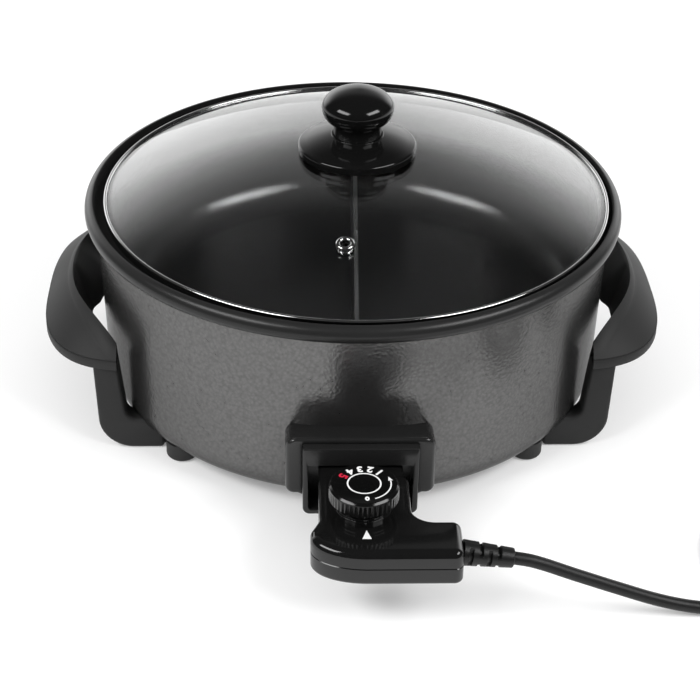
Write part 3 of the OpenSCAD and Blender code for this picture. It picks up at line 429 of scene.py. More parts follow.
def coat(w):
    """Black non-stick coat: a very fine orange-peel bump, slightly duller in slow clouds. A satin layer lies
    over it on the inner wall and is scoured off the floor. The groove of the lid's seat is painted near black
    and made duller: a painted shade for the deep gap between the rim and the lid."""
    place = own_place(w)
    x, y, z = (w.node("ShaderNodeSeparateXYZ", {0: place}, k) for k in range(3))
    radius = (x * x + (y - PAN[1] * MM) * (y - PAN[1] * MM)) ** 0.5
    # groove masks the lid's seat, where painted shade stands in for the shadow in the gap under the lid.
    groove = ramped(radius, 0.1556, 0.1548) * ramped(z, 0.1232, 0.1237)
    satin = ramped(radius, 0.1458, 0.1452) * ramped(z, 0.0522, 0.058)
    peel, cloud = noise(place, 900.0, 2.0), noise(place, 12.0, 3.0)
    # In the groove the base colour goes to near black, a painted shade.
    return {"Base Color": blended(groove, blended(cloud, grey(0.1), grey(0.14)), grey(0.03)),
            "Roughness": 0.26 + 0.08 * cloud + 0.5 * groove, "Coat Weight": 0.8 * satin,
            "Normal": w.node("ShaderNodeBump", {"Strength": 0.12, "Distance": 0.0002, "Height": peel})}


non_stick = finished("non_stick", {"IOR": 1.32, "Coat IOR": 1.9, "Coat Roughness": 0.26}, coat)
fit(solid("spun_pot", turned(pot_profile, PAN)), non_stick, "base", "non_stick", "cooking_pot")


# Casing: one deep-drawn steel bowl under the rim, with a pebbled grey coat. It is open at the bottom for the
# base plate, and has a window at the front behind the socket.
BOWL_X, BOWL_Z, BOWL_CORNER, BOWL_TOP_R, BOWL_TOP_Z, BOWL_HOLE = 131.1, 26.8, 19.5, 153.5, 122.5, 104.0
BOWL_LOW, BOWL_WALL = 7.3, 1.5


def casing_radius(z):
    """Outer radius at a height: a quarter circle at the bottom corner, then a wall that widens upwards."""
    corner = BOWL_X + np.sqrt(np.maximum(BOWL_CORNER**2 - np.minimum(z - BOWL_Z, 0) ** 2, 0))
    return corner + np.maximum(z - BOWL_Z, 0) * (BOWL_TOP_R - BOWL_X - BOWL_CORNER) / (BOWL_TOP_Z - BOWL_Z)


casing_profile = np.vstack([
    [(BOWL_HOLE, BOWL_LOW)], arc(BOWL_X, BOWL_Z, BOWL_CORNER, BOWL_CORNER, -90, 0, 24),
    [(BOWL_TOP_R, BOWL_TOP_Z), (BOWL_TOP_R - BOWL_WALL, BOWL_TOP_Z)],
    arc(BOWL_X, BOWL_Z, BOWL_CORNER - BOWL_WALL, BOWL_CORNER - BOWL_WALL, 0, -90, 24),
    [(BOWL_HOLE, BOWL_LOW + BOWL_WALL), (BOWL_HOLE, BOWL_LOW)]])
window = rounded(box_corners((-23.5, 34.7), (23.5, 51.3), 2))


def bar_along_y(loop, front, back):
    """A closed bar: an outline in x and z, carried from y = front to y = back and drawn to its middle."""
    middle = np.broadcast_to(loop.mean(0), loop.shape)
    rows = [(middle, front), (loop, front), (loop, back), (middle, back)]
    grid = np.stack([np.c_[l[:, 0], np.full(len(l), y), l[:, 1]] for l, y in rows])
    return np.concatenate([grid, grid[:, :1]], 1)


def pebbles(w):
    """Metallic hammered coat: rounded grains of about 2 mm stand proud, glossier on top. Their colour follows
    their height, paler on top and darker in the pits: a painted shade, with random fine specks.
    """
    place = own_place(w)
    grain = w.node("ShaderNodeTexVoronoi", {"Vector": place, "Scale": 520.0, "Smoothness": 0.6},
                   feature="SMOOTH_F1")
    fine = noise(place, 1100.0, 3.0)
    height = 1 - grain + 0.5 * fine
    # Painted shade: the base colour darkens into the pits between the grains and pales on their tops.
    return {"Base Color": blended(0.55 * height + 0.1 * fine, grey(0.32, 0.004), grey(0.45, 0.004)),
            "Roughness": 0.31 - 0.1 * height,
            "Normal": w.node("ShaderNodeBump", {"Strength": 0.15, "Distance": 0.0005, "Height": height})}


bowl = bored(solid("casing_bowl", turned(casing_profile, PAN)), bar_along_y(window, -125, -85))
pebble_coat = finished("pebble_coat", {"Metallic": 0.9, "Specular Tint": (0.5, 0.5, 0.5, 1)}, pebbles)
fit(bowl, pebble_coat, "base", "pebble_coat", "casing")


# Base: a zinc-plated steel plate screwed under the casing's opening, and four rubber feet pushed in beside
# it. They keep their CAD shapes, as all the screws and nuts do.
dress(metal("zinc_sheet", 0.6, 0.42, 0.2, 8.0), "base_plate")
fastener = metal("fastener", 0.68, 0.3, 0.15, 1.5)
dress(fastener, "base_screws", "handle_screws", "handle_nuts", "socket_screws", "clamp_nut", "case_screws",
      "knob_washer", "knob_screw", "dial_shaft")
dress(moulded("foot_rubber", 0.13, 0.6, 0.35, 0.8), "feet")


# Heater: a sheathed tube element with its spreader and clamp under the pot, terminal pins in ceramic bushes,
# the earth pin and the probe's tube. They keep their CAD shapes. The thermostat's own contacts and probe have
# the same metals.
dress(metal("element_sheath", 0.45, 0.5, 0.2, 2.0, 0.03), "heating_element")
dress(metal("spreader_sheet", 0.78, 0.35, 0.2, 5.0), "heat_spreader", "element_clamp")
dress(metal("contact_brass", 0.62, 0.25, 0.12, 1.2, 0.16), "terminal_pins", "earth_pin", "pin_receptacles",
      "switch_blades")
dress(metal("probe_steel", 0.72, 0.3, 0.15, 1.5), "probe_tube", "probe_rod")
dress(moulded("ceramic", 0.86, 0.45, 0.2, 0.6), "terminal_bushes")


# Socket shroud: a black phenolic hood screwed to the casing from inside, an upside-down U with rounded
# corners. Its roof falls towards the bowl, and its back follows it.
socket_plastic = moulded("socket_plastic", 0.11, 0.22, 0.05, 0.5, 1.45)
SHROUD_FRONT, GUARD_FRONT, GUARD_BACK = -168.0, -175.0, -157.0
HOOD_HALF, HOOD_TOP, HOOD_LOW, HOLLOW_HALF, HOLLOW_TOP = 41, 66, 29, 31.6, 62.7
FIT_GAP = 0.1
ROOF_FALL = np.tan(radians(11.5))


def wall_behind(loop):
    """The y of the casing's surface, less the fitting gap, at each (x, z) of a loop."""
    return -np.sqrt((casing_radius(loop[:, 1]) + FIT_GAP) ** 2 - loop[:, 0] ** 2)


def finer(path, parts):
    """Divides each stretch of a path into equal parts."""
    place = np.arange((len(path) - 1) * parts + 1) / parts
    return np.stack([np.interp(place, np.arange(len(path)), path[:, k]) for k in (0, 1)], -1)


def at_depth(loop, y):
    """An outline in x and z, set at one y or at a y for each point."""
    return np.stack([loop[:, 0], np.broadcast_to(y, len(loop)), loop[:, 1]], -1)


def front_edge(loop, way, radius, front, turn):
    """Rows of a quarter-round between a loop's wall and the front face: each point moves its way by the
    radius less its cosine's share, and lies behind the front by the radius less its sine's share."""
    return [at_depth(loop + way * radius * (1 - np.cos(a)), front + np.ravel(radius * (1 - np.sin(a))))
            for a in np.radians(turn)]


def under_roof(rows, front, low, top):
    """Lowers points by the roof's fall times their way back from the front, fully at top, not at low."""
    skin = np.stack(rows)
    skin[..., 2] -= ROOF_FALL * (skin[..., 1] - front) * np.clip((skin[..., 2] - low) / (top - low), 0, 1)
    return skin + PAN


def shroud_skin():
    """Outer and inner U, point against point. Across the wall the skin runs from the casing along the outer
    U, round the front edge (a quarter circle as deep as the wall allows), and back along the inner U."""
    outer = finer(rounded([
        (-HOLLOW_HALF, HOOD_LOW, 0), (-HOOD_HALF, HOOD_LOW, 4.5), (-HOOD_HALF, HOOD_TOP, 6),
        (HOOD_HALF, HOOD_TOP, 6), (HOOD_HALF, HOOD_LOW, 4.5), (HOLLOW_HALF, HOOD_LOW, 0)], closed=False), 3)
    inner = finer(rounded([
        (-HOLLOW_HALF, HOOD_LOW, 0), (-HOLLOW_HALF, HOOD_LOW + 4, 0), (-HOLLOW_HALF, HOLLOW_TOP, 0.4),
        (HOLLOW_HALF, HOLLOW_TOP, 0.4), (HOLLOW_HALF, HOOD_LOW + 4, 0), (HOLLOW_HALF, HOOD_LOW, 0)],
        closed=False), 3)
    across = inner - outer
    wall = np.linalg.norm(across, axis=1, keepdims=True)
    inward = across / np.maximum(wall, 1e-6)
    rows = [at_depth(outer, wall_behind(outer))]
    rows += front_edge(outer, inward, np.minimum(3.0, 0.7 * wall), SHROUD_FRONT, np.linspace(0, 90, 7))
    rows += front_edge(inner, -inward, np.minimum(0.5, 0.2 * wall), SHROUD_FRONT, np.linspace(90, 0, 4))
    rows += [at_depth(inner, wall_behind(inner)), rows[0]]
    return under_roof(rows, SHROUD_FRONT, 33, 62)


fit(solid("socket_hood", shroud_skin()), socket_plastic, "base", "socket_plastic", "socket_shroud")


# Socket guard: a closed black frame that stands out of the hood round the pins, with a back wall that carries
# the ceramic bushes.
CONTACTS = ((-14, 43), (14, 43), (0, 43), (7, 38.5))
guard_outer = finer(np.vstack([
    rounded([(31.5, 64, 0.6), (-31.5, 64, 0.6), (-31.5, 20.3, 4), (31.5, 20.3, 4)]), [(31.5, 63.4)]]), 2)
guard_inner = finer(np.vstack([
    rounded([(28.5, 52.7, 1.2), (-28.5, 52.7, 1.2), (-28.5, 23.3, 2.2), (28.5, 23.3, 2.2)]),
    [(28.5, 51.5)]]), 2)


def guard_skin():
    """From the casing along the outer loop, round the front edge, across the front face to the inner loop,
    round its edge and back to the back wall; the back follows the casing."""
    middle, hollow = np.array([0, 42.0]), np.array([0, 38.0])
    back = [middle + share * (guard_outer - middle) for share in (0, 0.35, 0.7, 1)]
    across = guard_inner - guard_outer
    inward = across / np.linalg.norm(across, axis=1, keepdims=True)
    rows = [at_depth(loop, wall_behind(loop)) for loop in back]
    rows += front_edge(guard_outer, inward, 0.9, GUARD_FRONT, np.linspace(0, 90, 5))
    rows += front_edge(guard_inner, -inward, 0.7, GUARD_FRONT, np.linspace(90, 0, 5))
    rows += [at_depth(hollow + s * (guard_inner - hollow), GUARD_BACK) for s in (1, 0)]
    return under_roof(rows, GUARD_FRONT, 53, 64)


guard = bored(solid("socket_frame", guard_skin()), *[
    rod((x, -120, z), (x, -100, z), r) for (x, z), r in zip(CONTACTS, (6.0, 6.0, 4.0, 1.5))])
fit(guard, socket_plastic, "base", "socket_plastic", "socket_guard")


# Side handles: each grip is a hollow black moulding, an upright lip all round, a sloping apron and a rounded
# crest whose bead widens towards the ends. It faces the casing with a steep inner wall.
handle_plastic = moulded("handle_plastic", 0.15, 0.58, 0.12, 0.6, 1.32)
GRIP = dict(root=121.0, end=138.5, low=56.0, crest=81.0, wall=3.0, swell=5.2)
GRIP_OUT = dict(reach=186.0, half=86.2, power=2.9)
GRIP_IN = dict(reach=158.0, half=72.0, power=3.5)
CREST = dict(reach=170.0, pull=31.5, half=77.0, dip=11.0)


def level_curve(u, reach, half, power):
    """A superellipse about (root, 0), as wide as reach and half; u runs along it between its cuts at end."""
    w = reach - GRIP["root"]
    t = u * np.arccos(((GRIP["end"] - GRIP["root"]) / w) ** (power / 2))
    return np.stack([GRIP["root"] + w * np.cos(t) ** (2 / power),
                     half * np.sign(u) * np.abs(np.sin(t)) ** (2 / power)], -1)


def grip_skin(u):
    """Section by section along the handle: up the lip, over a thin groove, up the apron (straight with a
    slight swell), over the bead to the crest, down the inner wall and back through the hollow. The inner wall
    swells towards the casing: the swell rises just in front of the middle and falls near the rear end."""
    lip = lambda d: level_curve(np.sign(u) * np.abs(u) ** 1.35, GRIP_OUT["reach"] - d, GRIP_OUT["half"] - d,
                                GRIP_OUT["power"])

    def inner(d):
        plan = level_curve(u, GRIP_IN["reach"] + d, GRIP_IN["half"] + d, GRIP_IN["power"])
        plan[:, 0] -= GRIP["swell"] * step(plan[:, 1], -17, -3) * (1 - step(plan[:, 1], 30, 48))
        return plan

    crest = np.stack([CREST["reach"] - CREST["pull"] * np.abs(u) ** 2.2, CREST["half"] * u], -1)
    top = GRIP["crest"] - CREST["dip"] * u**6
    low, one = GRIP["low"], np.ones_like(u)
    rows = [(lip(1.0), low * one), (lip(0.3), (low + 0.3) * one), (lip(0), (low + 1.0) * one)]
    rows += [(lip(0), (low + 5.7) * one), (lip(0.2), (low + 6.1) * one), (lip(0.6), (low + 6.2) * one),
             (lip(0.7), (low + 6.5) * one), (lip(0.6), (low + 6.9) * one)]
    foot, rise = lip(0.6), (low + 6.9) * one
    reach = np.linalg.norm(crest - foot, axis=1)
    bead = np.clip(1 - (3 + 6.5 * u * u) / reach, 0.12, 1)
    slope = lambda s: rise + (top - 1.4 - rise) * (s + 0.06 * np.sin(np.pi * s))
    mix = lambda a, b, s: a + (b - a) * s[:, None]
    for q in np.linspace(0.08, 1, 10):
        rows.append((mix(foot, crest, q * bead), slope(q * bead)))
    for q in np.linspace(0.06, 1, 10):
        s = bead + (1 - bead) * q
        rise_over = 1.4 * np.sin(np.minimum(q * 1.25, 1) * np.pi / 2) ** 0.7
        rows.append((mix(foot, crest, s), slope(s) + rise_over))
    for q, drop in ((0.03, 0.12), (0.06, 0.4), (0.09, 0.9), (0.12, 1.7)):
        rows.append((mix(crest, inner(0), q * one), top - drop))
    for q in np.linspace(0.2, 0.97, 6):
        rows.append((mix(crest, inner(0), q * one), top - 1.7 - (top - 1.7 - low - 0.8) * (q - 0.12) / 0.85))
    rows += [(inner(0.1), (low + 0.2) * one), (inner(0.6), low * one), (inner(GRIP["wall"]), low * one),
             (mix(crest, inner(0), 0.1 * one), top - 4), (mix(foot, crest, 0.88 * one), top - 4),
             (lip(GRIP["wall"]), (low + 5.2) * one), (lip(GRIP["wall"]), low * one)]
    return np.stack([np.c_[plan, z] for plan, z in rows])


HANDS = (("left", -1), ("right", 1))
grip = grip_skin(np.linspace(-1, 1, 121))
for hand, way in HANDS:
    skin = np.concatenate([grip, grip[:1]]) * (way, 1, 1) + PAN
    piece = solid(hand + "_handle_grip", skin, caps=[skin[:-1, 0], skin[:-1, -1]], sharp=40)
    fit(piece, handle_plastic, "base", "handle_plastic", hand + "_grip")


# Handle legs: under each grip a front and a rear leg stand on the table, turn under the pan and end in a
# tongue that is screwed to the casing.
LEG_Y, LEG_D, LEG_EDGE = 69.2, 13.6, 2.2
LEG_SCREW = (105, 74.1)


def inset(loop, depth):
    """Moves each point of a closed counter-clockwise loop inwards by depth, along the mean of the normals of
    the two edges that meet there."""
    edge = np.roll(loop, -1, 0) - loop
    edge /= np.maximum(np.linalg.norm(edge, axis=1, keepdims=True), 1e-9)
    mean = edge + np.roll(edge, 1, 0)
    mean /= np.linalg.norm(mean, axis=1, keepdims=True)
    return loop + depth * np.stack([-mean[:, 1], mean[:, 0]], -1)


def distinct(loop):
    """Leaves out points that repeat the one before."""
    return loop[np.linalg.norm(loop - np.roll(loop, 1, 0), axis=1) > 1e-6]


leg_side = distinct(rounded([(138.5, 58.5, 0), (134.5, 20, 7), (113, 20, 2.6), (113, 0.05, 2.6),
                             (150.5, 0.05, 20), (152.6, 58.5, 0)], steps=10))


def leg_slab(way_x, way_y):
    """The leg's side view carried across its depth, with a quarter-round along both of its edges."""
    turn = np.radians(np.linspace(0, 90, 6))
    depths = np.r_[LEG_EDGE * (1 - np.sin(turn)), LEG_EDGE * (1 - np.sin(turn[::-1]))]
    places = np.r_[LEG_Y + LEG_EDGE * (1 - np.cos(turn)), LEG_Y + LEG_D - LEG_EDGE * (1 - np.cos(turn[::-1]))]
    grid = np.stack([at_depth(inset(leg_side, d), y) for d, y in zip(depths, places)])
    grid = np.concatenate([grid, grid[:, :1]], 1) * (way_x, way_y, 1) + PAN
    return grid, [grid[0, :-1], grid[-1, :-1]]


def tongue(way_x, way_y):
    """A flat bar under the casing, an outline in x and y with rounded end, between two heights."""
    plan = rounded([(114, LEG_Y, 0), (114, 79, 0), (97, 79, 3), (97, LEG_Y, 3)])
    middle = np.broadcast_to(plan.mean(0), plan.shape)
    rows = [(middle, 1), (plan, 1), (plan, 7.2), (middle, 7.2)]
    grid = np.stack([np.c_[l, np.full(len(l), z)] for l, z in rows])
    return np.concatenate([grid, grid[:, :1]], 1) * (way_x, way_y, 1) + PAN


bowl_outside = turned(np.vstack([
    [(0, BOWL_LOW - FIT_GAP)], arc(BOWL_X, BOWL_Z, BOWL_CORNER + FIT_GAP, BOWL_CORNER + FIT_GAP, -90, 0, 24),
    [(151.8, 62), (0, 62)]]), PAN)
for hand, way in HANDS:
    slabs = [leg_slab(way, front) for front in (-1, 1)]
    legs = bored(solid(hand + "_leg_slabs", *[s[0] for s in slabs], caps=[c for s in slabs for c in s[1]]),
                 bowl_outside)
    ties = bored(solid(hand + "_leg_tongues", *[tongue(way, front) for front in (-1, 1)]),
                 *[rod((way * LEG_SCREW[0], PAN[1] + front * LEG_SCREW[1], -1),
                       (way * LEG_SCREW[0], PAN[1] + front * LEG_SCREW[1], top), r)
                   for front in (-1, 1) for top, r in ((3.3, 3.8), (9, 2.0))])
    fit(legs, handle_plastic, "base", "handle_plastic", hand + "_legs")
    fit(ties, handle_plastic, "base", "handle_plastic")


# Divider: a thin coated aluminium sheet that stands loose in the pot, front to back. It keeps its CAD shape,
# and the last third of a millimetre along its top edge is paler and duller.
def cut_edge(w):
    """Dark coat that turns paler and duller in the last third of a millimetre at the top."""
    place = own_place(w)
    top = ramped(w.node("ShaderNodeSeparateXYZ", {0: place}, 2), 0.1234, 0.1237)
    marks = noise(place, 300.0, 3.0)
    return {"Base Color": blended(top, grey(0.1), grey(0.34)), "Roughness": 0.4 + 0.15 * marks + 0.2 * top}


dress(finished("divider_coat", {"IOR": 1.5}, cut_edge), "divider")


# Lid: a pressed glass dome in a bright steel band. The band is rolled over the glass's edge and lies loose on
# the seat inside the rim, a little to the right of the middle.
LID = (1.8, 45, 0)
DOME_R, DOME_Z = 393.87, -236.37
GLASS_T = 4.0
dome_height = lambda r: DOME_Z + np.sqrt(DOME_R**2 - np.asarray(r) ** 2)
glass_r = np.linspace(4.0, 149.6, 90)
glass_profile = np.vstack([
    np.c_[glass_r, dome_height(glass_r)],
    np.c_[glass_r, np.maximum(dome_height(glass_r) - GLASS_T, 125.05)][::-1], [(4.0, dome_height(4.0))]])
vent_way = np.array([-9.5, -97, np.sqrt(DOME_R**2 - 9.5**2 - 97**2)]) / DOME_R
vent_place = np.array(LID) + (0, 0, DOME_Z) + DOME_R * vent_way
vent_profile = np.vstack([
    [(2.7, -5.2)], arc(4.0, 1.6, 1.3, 1.2, 180, 0), [(4.9, 1.0), (5.4, 0.8), (5.4, 0.1), (3.5, 0.1)],
    [(3.5, -4.1), (4.9, -4.1), (4.9, -5.2), (2.7, -5.2)]])


def clear_glass(w):
    """Clear glass with the faintest smears, which only touch the gloss."""
    return {"Roughness": 0.012 * noise(own_place(w), 9.0, 4.0)}


dome = bored(solid("lid_dome", turned(glass_profile, LID)),
             rod(vent_place - 8 * vent_way, vent_place + 8 * vent_way, 3.6))
fit(dome, finished("lid_glass", {"Transmission Weight": 1.0, "IOR": 1.5, "Base Color": (0.96, 0.97, 0.97, 1)},
                   clear_glass), "lid", "lid_glass", "lid_glass")
band_profile = np.vstack([
    [(147.5, 124.3)], arc(150.2, 124.8, 0.5, 0.5, -90, 0, 4), arc(149.5, 128.35, 1.2, 1.2, 0, 170),
    [(149.66, 128.1), (149.66, 125), (147.5, 124.98), (147.5, 124.3)]])
bright_steel = metal("bright_steel", 0.76, 0.12, 0.08, 4.0)
fit(solid("lid_rim_band", turned(band_profile, LID)), bright_steel, "lid", "bright_steel", "lid_band")
fit(solid("lid_vent", turned(vent_profile, vent_place, vent_way, 64)), bright_steel, "lid", "bright_steel",
    "vent_eyelet")
dress(moulded("silicone", 0.24, 0.6, 0.2, 0.8), "lid_gasket")


# Lid knob: a glossy black phenolic disc that rises in a shallow dome to a fine ring, and a mushroom head. A
# screw from under the glass holds both.
knob_plastic = moulded("knob_plastic", 0.05, 0.1, 0.02, 0.5, 1.38)
NECK_R, NECK_Z, HEAD_R, HEAD_Z = 14.5, 166.7, 21.2, 184.2
DISC_R, DISC_EDGE, DISC_RISE = 33.8, 161.2, 5.5
disc_top = lambda r: DISC_EDGE + DISC_RISE * (DISC_R**2 - np.asarray(r) ** 2) / (DISC_R**2 - NECK_R**2)
under_r, over_r = np.linspace(0, 34, 20), np.linspace(31.5, 15.6, 16)
disc_profile = np.vstack([
    np.c_[under_r, dome_height(under_r) + 0.05],
    rounded([(34, 156, 0), (35, 156.6, 0.6), (35, 161.0, 1.8), (31.5, disc_top(31.5), 0)], closed=False),
    np.c_[over_r, disc_top(over_r)], arc(15.1, NECK_Z - 0.1, 0.5, 0.5, 0, 180, 6), [(0, NECK_Z)]])
head_profile = np.vstack([
    [(0, NECK_Z), (14.4, NECK_Z), (14.2, 168), (14.2, 171.5), (14.5, 173.8), (15.2, 175.4), (16.3, 176.2)],
    arc(NECK_R, HEAD_Z, 6.7, 9.0, -58, 0, 18), arc(0, HEAD_Z, HEAD_R, 10.9, 0, 90, 28)])
for name, profile, node in (("knob_disc", disc_profile, "knob_base"),
                            ("knob_head", head_profile, "lid_knob")):
    fit(solid(name, turned(profile, LID, around=160)), knob_plastic, "lid", "knob_plastic", node)


# Thermostat case: an upper and a lower shell of glossy black plastic, L-shaped seen from above, that meet at
# a level joint. A narrower nose with the contacts goes into the socket; the arm carries the cord's boot.
case_plastic = moulded("case_plastic", 0.06, 0.1, 0.02, 0.5, 1.45)
CASE_LOW, SPLIT, CASE_TOP, CASE_WALL = 31.8, 42.2, 52.3, 2.0
case_plan = distinct(np.vstack([
    rounded([(20, -135.5, 0), (-23.4, -135.5, 4.8), (-23.4, -174, 9), (-28, -184, 6), (-28, -188.5, 0)],
            closed=False, steps=10)[11:],
    arc(2, -188.5, 30, 16.5, 180, 270, 28),
    rounded([(2, -205, 0), (50.5, -205, 4.8), (50.5, -176, 4.8), (25.4, -176, 12), (25.4, -135.5, 4.8),
             (-18.5, -135.5, 0)], closed=False, steps=10)[11:-11]]))


def shell(levels):
    """The case's plan, moved inwards and up or down from level to level, closed over at both ends."""
    grid = np.stack([np.c_[inset(case_plan, d), np.full(len(case_plan), z)] for d, z in levels])
    return np.concatenate([grid, grid[:, :1]], 1), [grid[0], grid[-1]]


def quarter(z, radius, way, steps=7):
    """Levels of a quarter-round edge that ends at height z, upwards or downwards."""
    a = np.radians(np.linspace(0, 90, steps))
    return list(zip(radius * (1 - np.cos(a)), z - way * radius * (1 - np.sin(a))))


DIAL, SHAFT_R = (0, -169), 3.05
pin_bores = [rod((x, -108, z), (x, -120, z), r) for (x, z), r in zip(CONTACTS, (3.15, 3.15, 3.0, 1.65))]
shaft_bore = rod((*DIAL, SPLIT), (*DIAL, 60), SHAFT_R)
screw_bores = [rod((x, y, 30), (x, y, 35.7), 2.7) for x, y in ((-15, -186), (31.5, -199), (31.5, -182))]
upper_levels = ([(3.2, CASE_TOP - CASE_WALL), (2.2, CASE_TOP - CASE_WALL - 1), (CASE_WALL, SPLIT),
                 (0.35, SPLIT), (0, SPLIT + 0.35)] + quarter(CASE_TOP, 4.5, 1, 9))
lower_levels = ([(3.2, CASE_LOW + CASE_WALL), (2.2, CASE_LOW + CASE_WALL + 1), (CASE_WALL, SPLIT - 0.03),
                 (0.35, SPLIT - 0.03), (0, SPLIT - 0.38)] + quarter(CASE_LOW, 2.4, -1))
nose_outside = rounded(box_corners((-22.9, 34.7), (22.9, 51.2), 2))
nose_inside = rounded(box_corners((-22.1, 35.6), (22.1, 50.4), 0.3))
doorway = bar_along_y(nose_inside, -140, -134)
for name, levels, node, bores in (("case_upper", upper_levels, "controller_top", [doorway, shaft_bore]),
                                  ("case_lower", lower_levels, "controller_bottom", [doorway] + screw_bores)):
    grid, ends = shell(levels)
    fit(bored(solid(name, grid, caps=ends), *bores), case_plastic, "controller", "case_plastic", node)
nose = bored(solid("case_nose", bar_along_y(nose_outside, -138.5, -114)),
             bar_along_y(nose_inside, -140, -116), *pin_bores)
fit(nose, case_plastic, "controller", "case_plastic")


# Works inside the thermostat: the terminal block of dark resin that fills the nose and holds the contacts. It
# keeps its CAD shape.
dress(moulded("block_resin", 0.08, 0.5, 0.2, 0.8), "terminal_block")


# Dial: a ribbed collar set on the case, and over it a black plastic dial with 48 knurls, pressed on the
# switch's shaft, which it turns.
DIAL_LOW, DIAL_TOP, DIAL_R, TOP_R, KNURLS, KNURL = 60.8, 70.2, 18.4, 18.3, 48, 0.3
dial_plastic = moulded("dial_plastic", 0.04, 0.12, 0.03, 0.5, 1.36)
collar_profile = rounded([
    (SHAFT_R, CASE_TOP, 0), (14.4, CASE_TOP, 0), (14.4, 55.0, 0.3), (14.9, 55.2, 0.3), (14.9, 56.2, 0.4),
    (14.2, 56.4, 0.2), (14.2, 56.9, 0.2), (15.2, 57.1, 0.4), (15.2, 58.1, 0.4), (14.4, 58.3, 0.2),
    (14.4, 58.8, 0.2), (15.5, 59.0, 0.4), (15.5, 60.0, 0.4), (14.2, 60.5, 0.3), (SHAFT_R, 60.5, 0),
    (SHAFT_R, CASE_TOP, 0)], closed=False)
fit(solid("dial_foot", turned(collar_profile, (*DIAL, 0), around=120)), case_plastic, "controller",
    "case_plastic", "dial_collar")


def dial_skin():
    """A turned cap with a sloping top edge. Its side's radius swings in by KNURL, KNURLS times round, and the
    knurls run out below that edge."""
    outline = rounded([
        (0, DIAL_TOP - 2.4, 0), (3, DIAL_TOP - 2.4, 0), (3, DIAL_LOW, 0), (17.6, DIAL_LOW, 0.4),
        (DIAL_R, DIAL_LOW + 1.2, 0.6), (TOP_R, DIAL_TOP - 2.8, 0), (TOP_R, DIAL_TOP - 1.8, 0),
        (TOP_R, DIAL_TOP - 1.2, 0.5), (TOP_R - 1.3, DIAL_TOP, 0.6), (0, DIAL_TOP, 0)], closed=False, steps=6)
    skin = turned(outline, (*DIAL, 0), around=KNURLS * 10)
    a = np.linspace(0, 2 * np.pi, KNURLS * 10 + 1)
    wave = (0.5 + 0.5 * np.cos(KNURLS * a)) ** 0.7
    side = ((outline[:, 0] > TOP_R - 0.3) * (1 - step(outline[:, 1], DIAL_TOP - 2.8, DIAL_TOP - 1.8))
            * step(outline[:, 1], DIAL_LOW, DIAL_LOW + 1))
    share = 1 - np.outer(side, wave) * KNURL / np.maximum(outline[:, :1], 1)
    skin[..., :2] = DIAL + (skin[..., :2] - DIAL) * share[..., None]
    return skin


fit(solid("dial_cap", dial_skin()), dial_plastic, "dial", "dial_plastic", "dial")


# Scale print: white and red ink, stamped on the dial's top as a ring, figures and an arrow, and on the case
# as a pointer.
def ink(name, colour):
    """Opaque ink, a fifth darker in fine specks."""
    def shade(w):
        worn = tuple(0.8 * c for c in colour[:3]) + (1,)
        return {"Base Color": blended(noise(own_place(w), 2500.0, 1.0), worn, colour)}
    return finished(name, {"Roughness": 0.5}, shade)


white_ink, red_ink = ink("white_ink", grey(0.9)), ink("red_ink", (0.55, 0.01, 0.04, 1))
INK_T, INK_SUNK = 0.07, 0.03
FIGURE_R, FIGURE_H = 12.7, 6.6


def raised(loop_a, loop_b, z):
    """A thin strip of ink between two paths on a level face at z, from INK_SUNK under it to INK_T over it."""
    rows = [(loop_a, -INK_SUNK), (loop_a, INK_T), (loop_b, INK_T), (loop_b, -INK_SUNK), (loop_a, -INK_SUNK)]
    return np.stack([np.c_[l, np.full(len(l), z + v)] for l, v in rows])


def round_path(radius, start, end):
    """An arc of that radius about the dial's axis, between two angles in degrees."""
    return arc(*DIAL, radius, radius, start, end, 90)


ring = raised(round_path(8.2, 0, 360), round_path(9.0, 0, 360), DIAL_TOP)
fit(solid("scale_ring", ring), white_ink, "dial", "dial_plastic")
sweep = raised(round_path(13.6, -68, 12), round_path(14.3, -68, 12), DIAL_TOP)
fit(solid("scale_arrow", sweep, caps=[sweep[:-1, 0], sweep[:-1, -1]]), white_ink, "dial", "dial_plastic")
tip = np.array([DIAL + 14 * np.array([np.cos(radians(a)), np.sin(radians(a))]) for a in (10, 24)])
across = np.array([np.cos(radians(10)), np.sin(radians(10))]) * 1.2
head_a = np.array([tip[0] - across, tip[1]])
head_b = np.array([tip[0] + across, tip[1]])
arrow = raised(head_a, head_b, DIAL_TOP)
fit(solid("scale_arrow_head", arrow, caps=[arrow[:-1, 0]]), white_ink, "dial", "dial_plastic")
pointer = raised(np.array([(-1.4, -192.4), (1, -185.2)]), np.array([(3.4, -192.4), (1, -185.2)]), CASE_TOP)
fit(solid("case_pointer", pointer, caps=[pointer[:-1, 0]]), white_ink, "controller", "case_plastic")


def figure(name, text, place, turn, height):
    """A printed figure: text made a mesh first, then turned and set on the dial's top."""
    curve = bpy.data.curves.new(name, "FONT")
    curve.body, curve.align_x, curve.align_y = text, "CENTER", "CENTER"
    curve.size, curve.extrude, curve.offset, curve.resolution_u = height * MM, INK_T * MM, 0.26 * MM, 4
    words = bpy.data.objects.new(name, curve)
    scene.collection.objects.link(words)
    mesh = bpy.data.meshes.new_from_object(words.evaluated_get(bpy.context.evaluated_depsgraph_get()))
    bpy.data.objects.remove(words)
    mesh.transform(Matrix.Translation(Vector((*place, DIAL_TOP)) * MM) @ Matrix.Rotation(turn, 4, "Z"))
    piece = bpy.data.objects.new(name, mesh)
    scene.collection.objects.link(piece)
    return piece


figures = [(str(n), 24 + 25 * n, FIGURE_R, FIGURE_H, red_ink if n == 5 else white_ink)
           for n in range(5, 0, -1)]
for text, angle, radius, height, colour in figures + [("0", -85, 13.2, 4.2, white_ink)]:
    a = radians(angle)
    place = np.array(DIAL) + radius * np.array([np.cos(a), np.sin(a)])
    fit(figure("scale_figure_" + text, text, place, a + np.pi / 2, height), colour, "dial", "dial_plastic")


